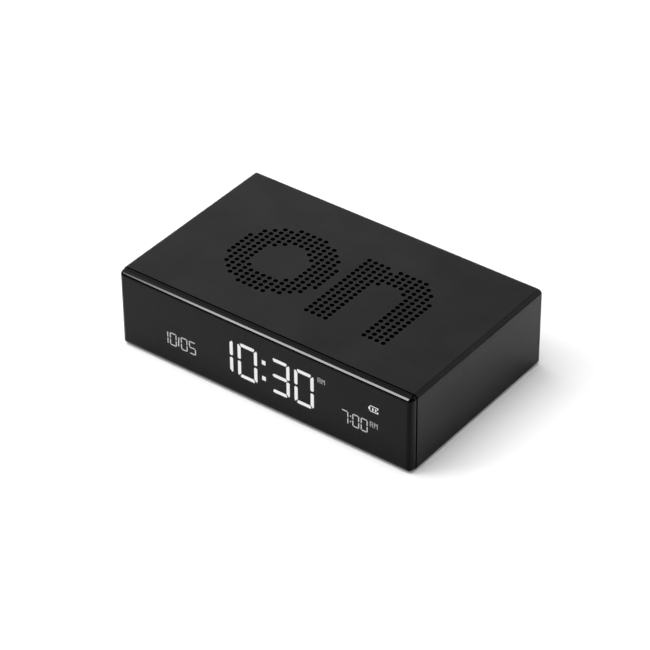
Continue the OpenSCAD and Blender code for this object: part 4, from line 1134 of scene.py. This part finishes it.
class Works:
    """Finishes of the pieces that keep their solid shapes: each finish, then its pieces."""

    TABLE: tuple[tuple, ...] = (
        (COVER_BLACK, "rear_cover"),
        (moulded("frame_black", 0.018, (0.5, 0.6), size=0.2, depth=0.2, edge=0.15), "display_frame"),
        (moulded("tray_grey", 0.05, (0.5, 0.62), size=0.25, depth=0.25, mottle=14.0, edge=0.15),
         "chassis_tray"),
        (moulded("bond_tape", 0.012, (0.6, 0.75), grain=FIBRE, size=0.2, depth=0.2), "lens_tape"),
        (plated("plated_screw", (0.62, 0.62, 0.64), (0.25, 0.4), grain=BRUSHED, size=0.15, depth=0.12,
         mottle=1.5), "frame_screws", "board_screws", "speaker_screws"),
        (moulded("grille_cloth", 0.0025, (0.85, 0.95), grain=WOVEN, size=0.22, depth=0.6, mottle=3.0,
         level=0.1), "upper_grille_cloth", "lower_grille_cloth"),
        (tinted("panel_glass", (0.09, 0.1, 0.11), (0.04, 0.08), grain=PEEL, size=6.0, depth=0.01),
         "display_panel"),
        (tinted("white_film", (0.85, 0.85, 0.84), (0.6, 0.7), grain=FIBRE, size=0.15),
         "diffuser_sheet"),
        (tinted("clear_guide", (0.86, 0.9, 0.93), (0.05, 0.12), grain=FIBRE, size=0.5, depth=0.08,
         clear=0.85), "light_guide"),
        (tinted("white_board", (0.78, 0.78, 0.74), (0.35, 0.45), size=0.3, depth=0.08, edge=0.08),
         "backlight_board"),
        (tinted("lamp_resin", (0.86, 0.68, 0.2), (0.25, 0.35), size=0.1, depth=0.05, mottle=1.0,
         edge=0.1), "backlight_lamps"),
        (tinted("amber_film", (0.46, 0.2, 0.035), (0.25, 0.35), grain=BRUSHED, size=0.5, depth=0.08),
         "display_flex"),
        (tinted("ivory_plastic", (0.72, 0.66, 0.52), (0.4, 0.52), size=0.1, mottle=3.0,
         edge=0.1), "flex_connector", "battery_connector", "speaker_connector", "hour_plunger",
         "minute_plunger", "alarm_plunger", "light_plunger"),
        (tinted("board_green", (0.015, 0.13, 0.045), (0.28, 0.4), grain=WOVEN, size=0.5,
         mottle=5.0, edge=0.08), "main_board"),
        (moulded("chip_black", 0.02, (0.5, 0.62), size=0.06, depth=0.2, mottle=2.0, edge=0.08),
         "controller_chip", "power_chips", "tilt_base", "tact_switches", "socket_tongue"),
        (plated("nickel_plate", (0.6, 0.59, 0.56), (0.22, 0.36), size=0.3, depth=0.06, mottle=4.0,
         edge=0.12), "timing_crystal", "socket_shell", "speaker_yoke", "speaker_magnet",
         "pole_plate"),
        (tinted("can_sleeve", (0.06, 0.07, 0.14), (0.3, 0.42), size=0.3, depth=0.08, mottle=2.0,
         edge=0.2), "capacitors"),
        (plated("copper_foil", (0.74, 0.36, 0.17), (0.28, 0.42), grain=BRUSHED, size=0.2),
         "touch_pad"),
        (plated("brass_plate", (0.74, 0.56, 0.24), (0.22, 0.34), size=0.3, depth=0.05, mottle=2.0,
         edge=0.1), "touch_spring", "tilt_can"),
        (plated("ball_steel", (0.7, 0.7, 0.72), (0.08, 0.16), size=0.4, depth=0.02), "tilt_ball"),
        (plated("cell_foil", (0.55, 0.56, 0.58), (0.3, 0.45), grain=FIBRE, size=1.6, depth=0.12),
         "battery_cell"),
        (tinted("foam_tape", (0.7, 0.67, 0.52), (0.75, 0.9), grain=FIBRE, size=0.25, depth=0.4),
         "battery_tape"),
        (tinted("wire_sleeve", (0.36, 0.02, 0.02), (0.38, 0.5), size=0.2, mottle=2.0),
         "battery_lead", "speaker_lead"),
        (moulded("basket_black", 0.03, (0.35, 0.48), grain=PEEL, size=0.6, edge=0.12),
         "speaker_basket"),
        (plated("coil_copper", (0.7, 0.3, 0.12), (0.25, 0.35), grain=WOUND, size=0.12, depth=0.5,
         mottle=2.0), "voice_coil"),
        (moulded("cone_paper", 0.02, (0.75, 0.9), grain=FIBRE, size=0.5, depth=0.35, mottle=4.0),
         "speaker_cone"),
        (moulded("foam_ring", 0.015, (0.85, 0.95), grain=FIBRE, size=0.3, depth=0.6),
         "speaker_gasket"),
    )

    def dress(self) -> None:
        """Dress every piece of the table."""
        for finish, *names in self.TABLE:
            for name in names:
                finish.dress(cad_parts[name])
                log.info("%s: %s", name, finish.name)


@dataclass(frozen=True)
class SoftLight:
    """One soft light of the studio; places and sizes are in metres."""

    name: str
    place: Point
    size: Flat
    power: float
    aim: Point = (0.0, 0.0, 0.0)
    diffuse: bool = True
    gloss: bool = True
    fade: float = 0.0
    pieces: tuple[str, ...] = ()

    def feather(self, data: bpy.types.AreaLight) -> None:
        """Let the light rise softly from one end.

        Args:
            data: The light.
        """
        data.use_nodes = True
        tree = Tree(data.node_tree)
        spot = tree.add("NewGeometry").outputs["Parametric"]
        across = tree.add("SeparateXYZ", None, spot).outputs[0]
        rise = tree.add("MapRange", {"interpolation_type": "SMOOTHSTEP"}, Value=across,
                        From_Max=self.fade).outputs[0]
        tree.fill(tree.nodes["Emission"].inputs["Strength"], rise)

    def build(self) -> None:
        """Hang the light, with its long side level."""
        data = bpy.data.lights.new(self.name, "AREA")
        data.shape = "RECTANGLE"
        data.size, data.size_y = self.size
        data.energy = self.power
        if self.fade:
            self.feather(data)
        lamp = stand(self.name, data)
        lamp.location = self.place
        away = Vector(self.place) - Vector(self.aim)
        lamp.rotation_mode = "QUATERNION"
        lamp.rotation_quaternion = (-away).to_track_quat("-Z", "Y")
        lamp.visible_diffuse = self.diffuse
        lamp.visible_glossy = self.gloss
        if self.pieces:
            lit = bpy.data.collections.new(self.name)
            for name in self.pieces:
                lit.objects.link(bpy.data.objects[name])
            lamp.light_linking.receiver_collection = lit


@dataclass
class Studio:
    """Pale floor, soft lights and the camera."""

    azimuth: float = 37.1583
    elevation: float = 36.2958
    roll: float = -0.4767
    distance: float = 850.2328
    across: float = 18.0977
    upward: float = 23.6932
    lens: float = 163.7637
    sensor: float = 36.0
    clip: Flat = (0.05, 20.0)
    front: float = -32.25
    floor_size: float = 3.0
    floor_glow: float = 0.1
    world: float = 0.3
    tones: tuple[Flat, ...] = ((0.01, 0.0037), (0.02, 0.0123), (0.03, 0.025), (0.0382, 0.0382),
                               (0.05, 0.0588), (0.065, 0.081), (0.085, 0.1), (0.12, 0.13),
                               (0.18, 0.183), (0.25, 0.25))

    def camera(self) -> None:
        """Set the camera at the photograph's angle."""
        turn, lift, lean = (radians(value) for value in (self.azimuth, self.elevation, self.roll))
        back = Vector((sin(turn) * cos(lift), -cos(turn) * cos(lift), sin(lift)))
        level = Vector((0, 0, 1)).cross(back).normalized()
        plumb = back.cross(level)
        right = cos(lean) * level + sin(lean) * plumb
        upward = cos(lean) * plumb - sin(lean) * level
        place = right * self.across + upward * self.upward + back * self.distance
        place.y += self.front
        data = bpy.data.cameras.new("view")
        data.lens = self.lens
        data.sensor_width = self.sensor
        data.clip_start, data.clip_end = self.clip
        camera = stand("view", data)
        turned = Matrix((right, upward, back)).transposed().to_4x4()
        camera.matrix_world = Matrix.Translation(place * MM) @ turned
        bpy.context.scene.camera = camera

    def floor(self) -> None:
        """Lay the pale floor, a table that is lit a little from below."""
        half = self.floor_size / 2
        mesh = bpy.data.meshes.new("floor")
        mesh.from_pydata([(-half, -half, 0), (half, -half, 0), (half, half, 0), (-half, half, 0)],
                         [], [(0, 1, 2, 3)])
        sheet = stand("floor", mesh)
        pale = tinted("pale_floor", (0.9, 0.9, 0.9), (0.85, 0.95), size=2.0, depth=0.02,
                      mottle=400.0, level=0.0)
        pale.dress(sheet)
        shader = pale.material().node_tree.nodes["Principled BSDF"]
        shader.inputs["Emission Color"].default_value = (1.0, 1.0, 1.0, 1.0)
        shader.inputs["Emission Strength"].default_value = self.floor_glow

    def lights(self) -> None:
        """Hang the soft lights and set the room."""
        for light in (
            SoftLight("overhead", (-0.25, -0.1, 1.3), (1.3, 1.3), 22.5, gloss=False),
            SoftLight("front_left", (-0.9, -0.7, 0.9), (0.7, 0.7), 8.7, gloss=False),
            SoftLight("edge_strip", (-0.4125, -0.585, 0.715), (0.525, 0.78), 48.5,
                      aim=(-0.4125, 0.0, 0.0), diffuse=False, fade=0.238,
                      pieces=("pillowed_lens",)),
            SoftLight("top_card", (-0.3, -0.3, 1.3), (1.8, 1.8), 14.0, diffuse=False),
            SoftLight("rear_card", (-1.03, 0.66, 0.85), (1.4, 1.2), 4.5, diffuse=False),
            SoftLight("right_card", (0.7, 1.0, 0.66), (1.7, 1.5), 11.5, diffuse=False),
        ):
            light.build()
        room = bpy.data.worlds.new("room")
        room.use_nodes = True
        backdrop = room.node_tree.nodes["Background"].inputs
        backdrop["Color"].default_value = (1.0, 1.0, 1.0, 1.0)
        backdrop["Strength"].default_value = self.world
        bpy.context.scene.world = room

    def print_tones(self) -> None:
        """Print the picture with the photograph's deep shadows."""
        settings = bpy.context.scene.view_settings
        settings.view_transform = "Standard"
        settings.use_curve_mapping = True
        whole = settings.curve_mapping.curves[3]
        for light, printed in self.tones:
            whole.points.new(light, printed)
        settings.curve_mapping.update()

    def build(self) -> None:
        """Set up the whole studio."""
        self.camera()
        self.floor()
        self.lights()
        self.print_tones()


def main() -> None:
    """Build and dress the clock in order, then set up the studio."""
    logging.basicConfig(level=logging.INFO, format="%(name)s: %(message)s")
    body = Body()
    Works().dress()
    Sleeve(body).build()
    lens = Lens(body)
    lens.build()
    Display(lens).build()
    for sign in KeySign:
        SettingKey(body, sign).build()
    SocketContacts().build()
    SpeakerSurround().build()
    Studio().build()


if __name__ == "__main__":
    main()
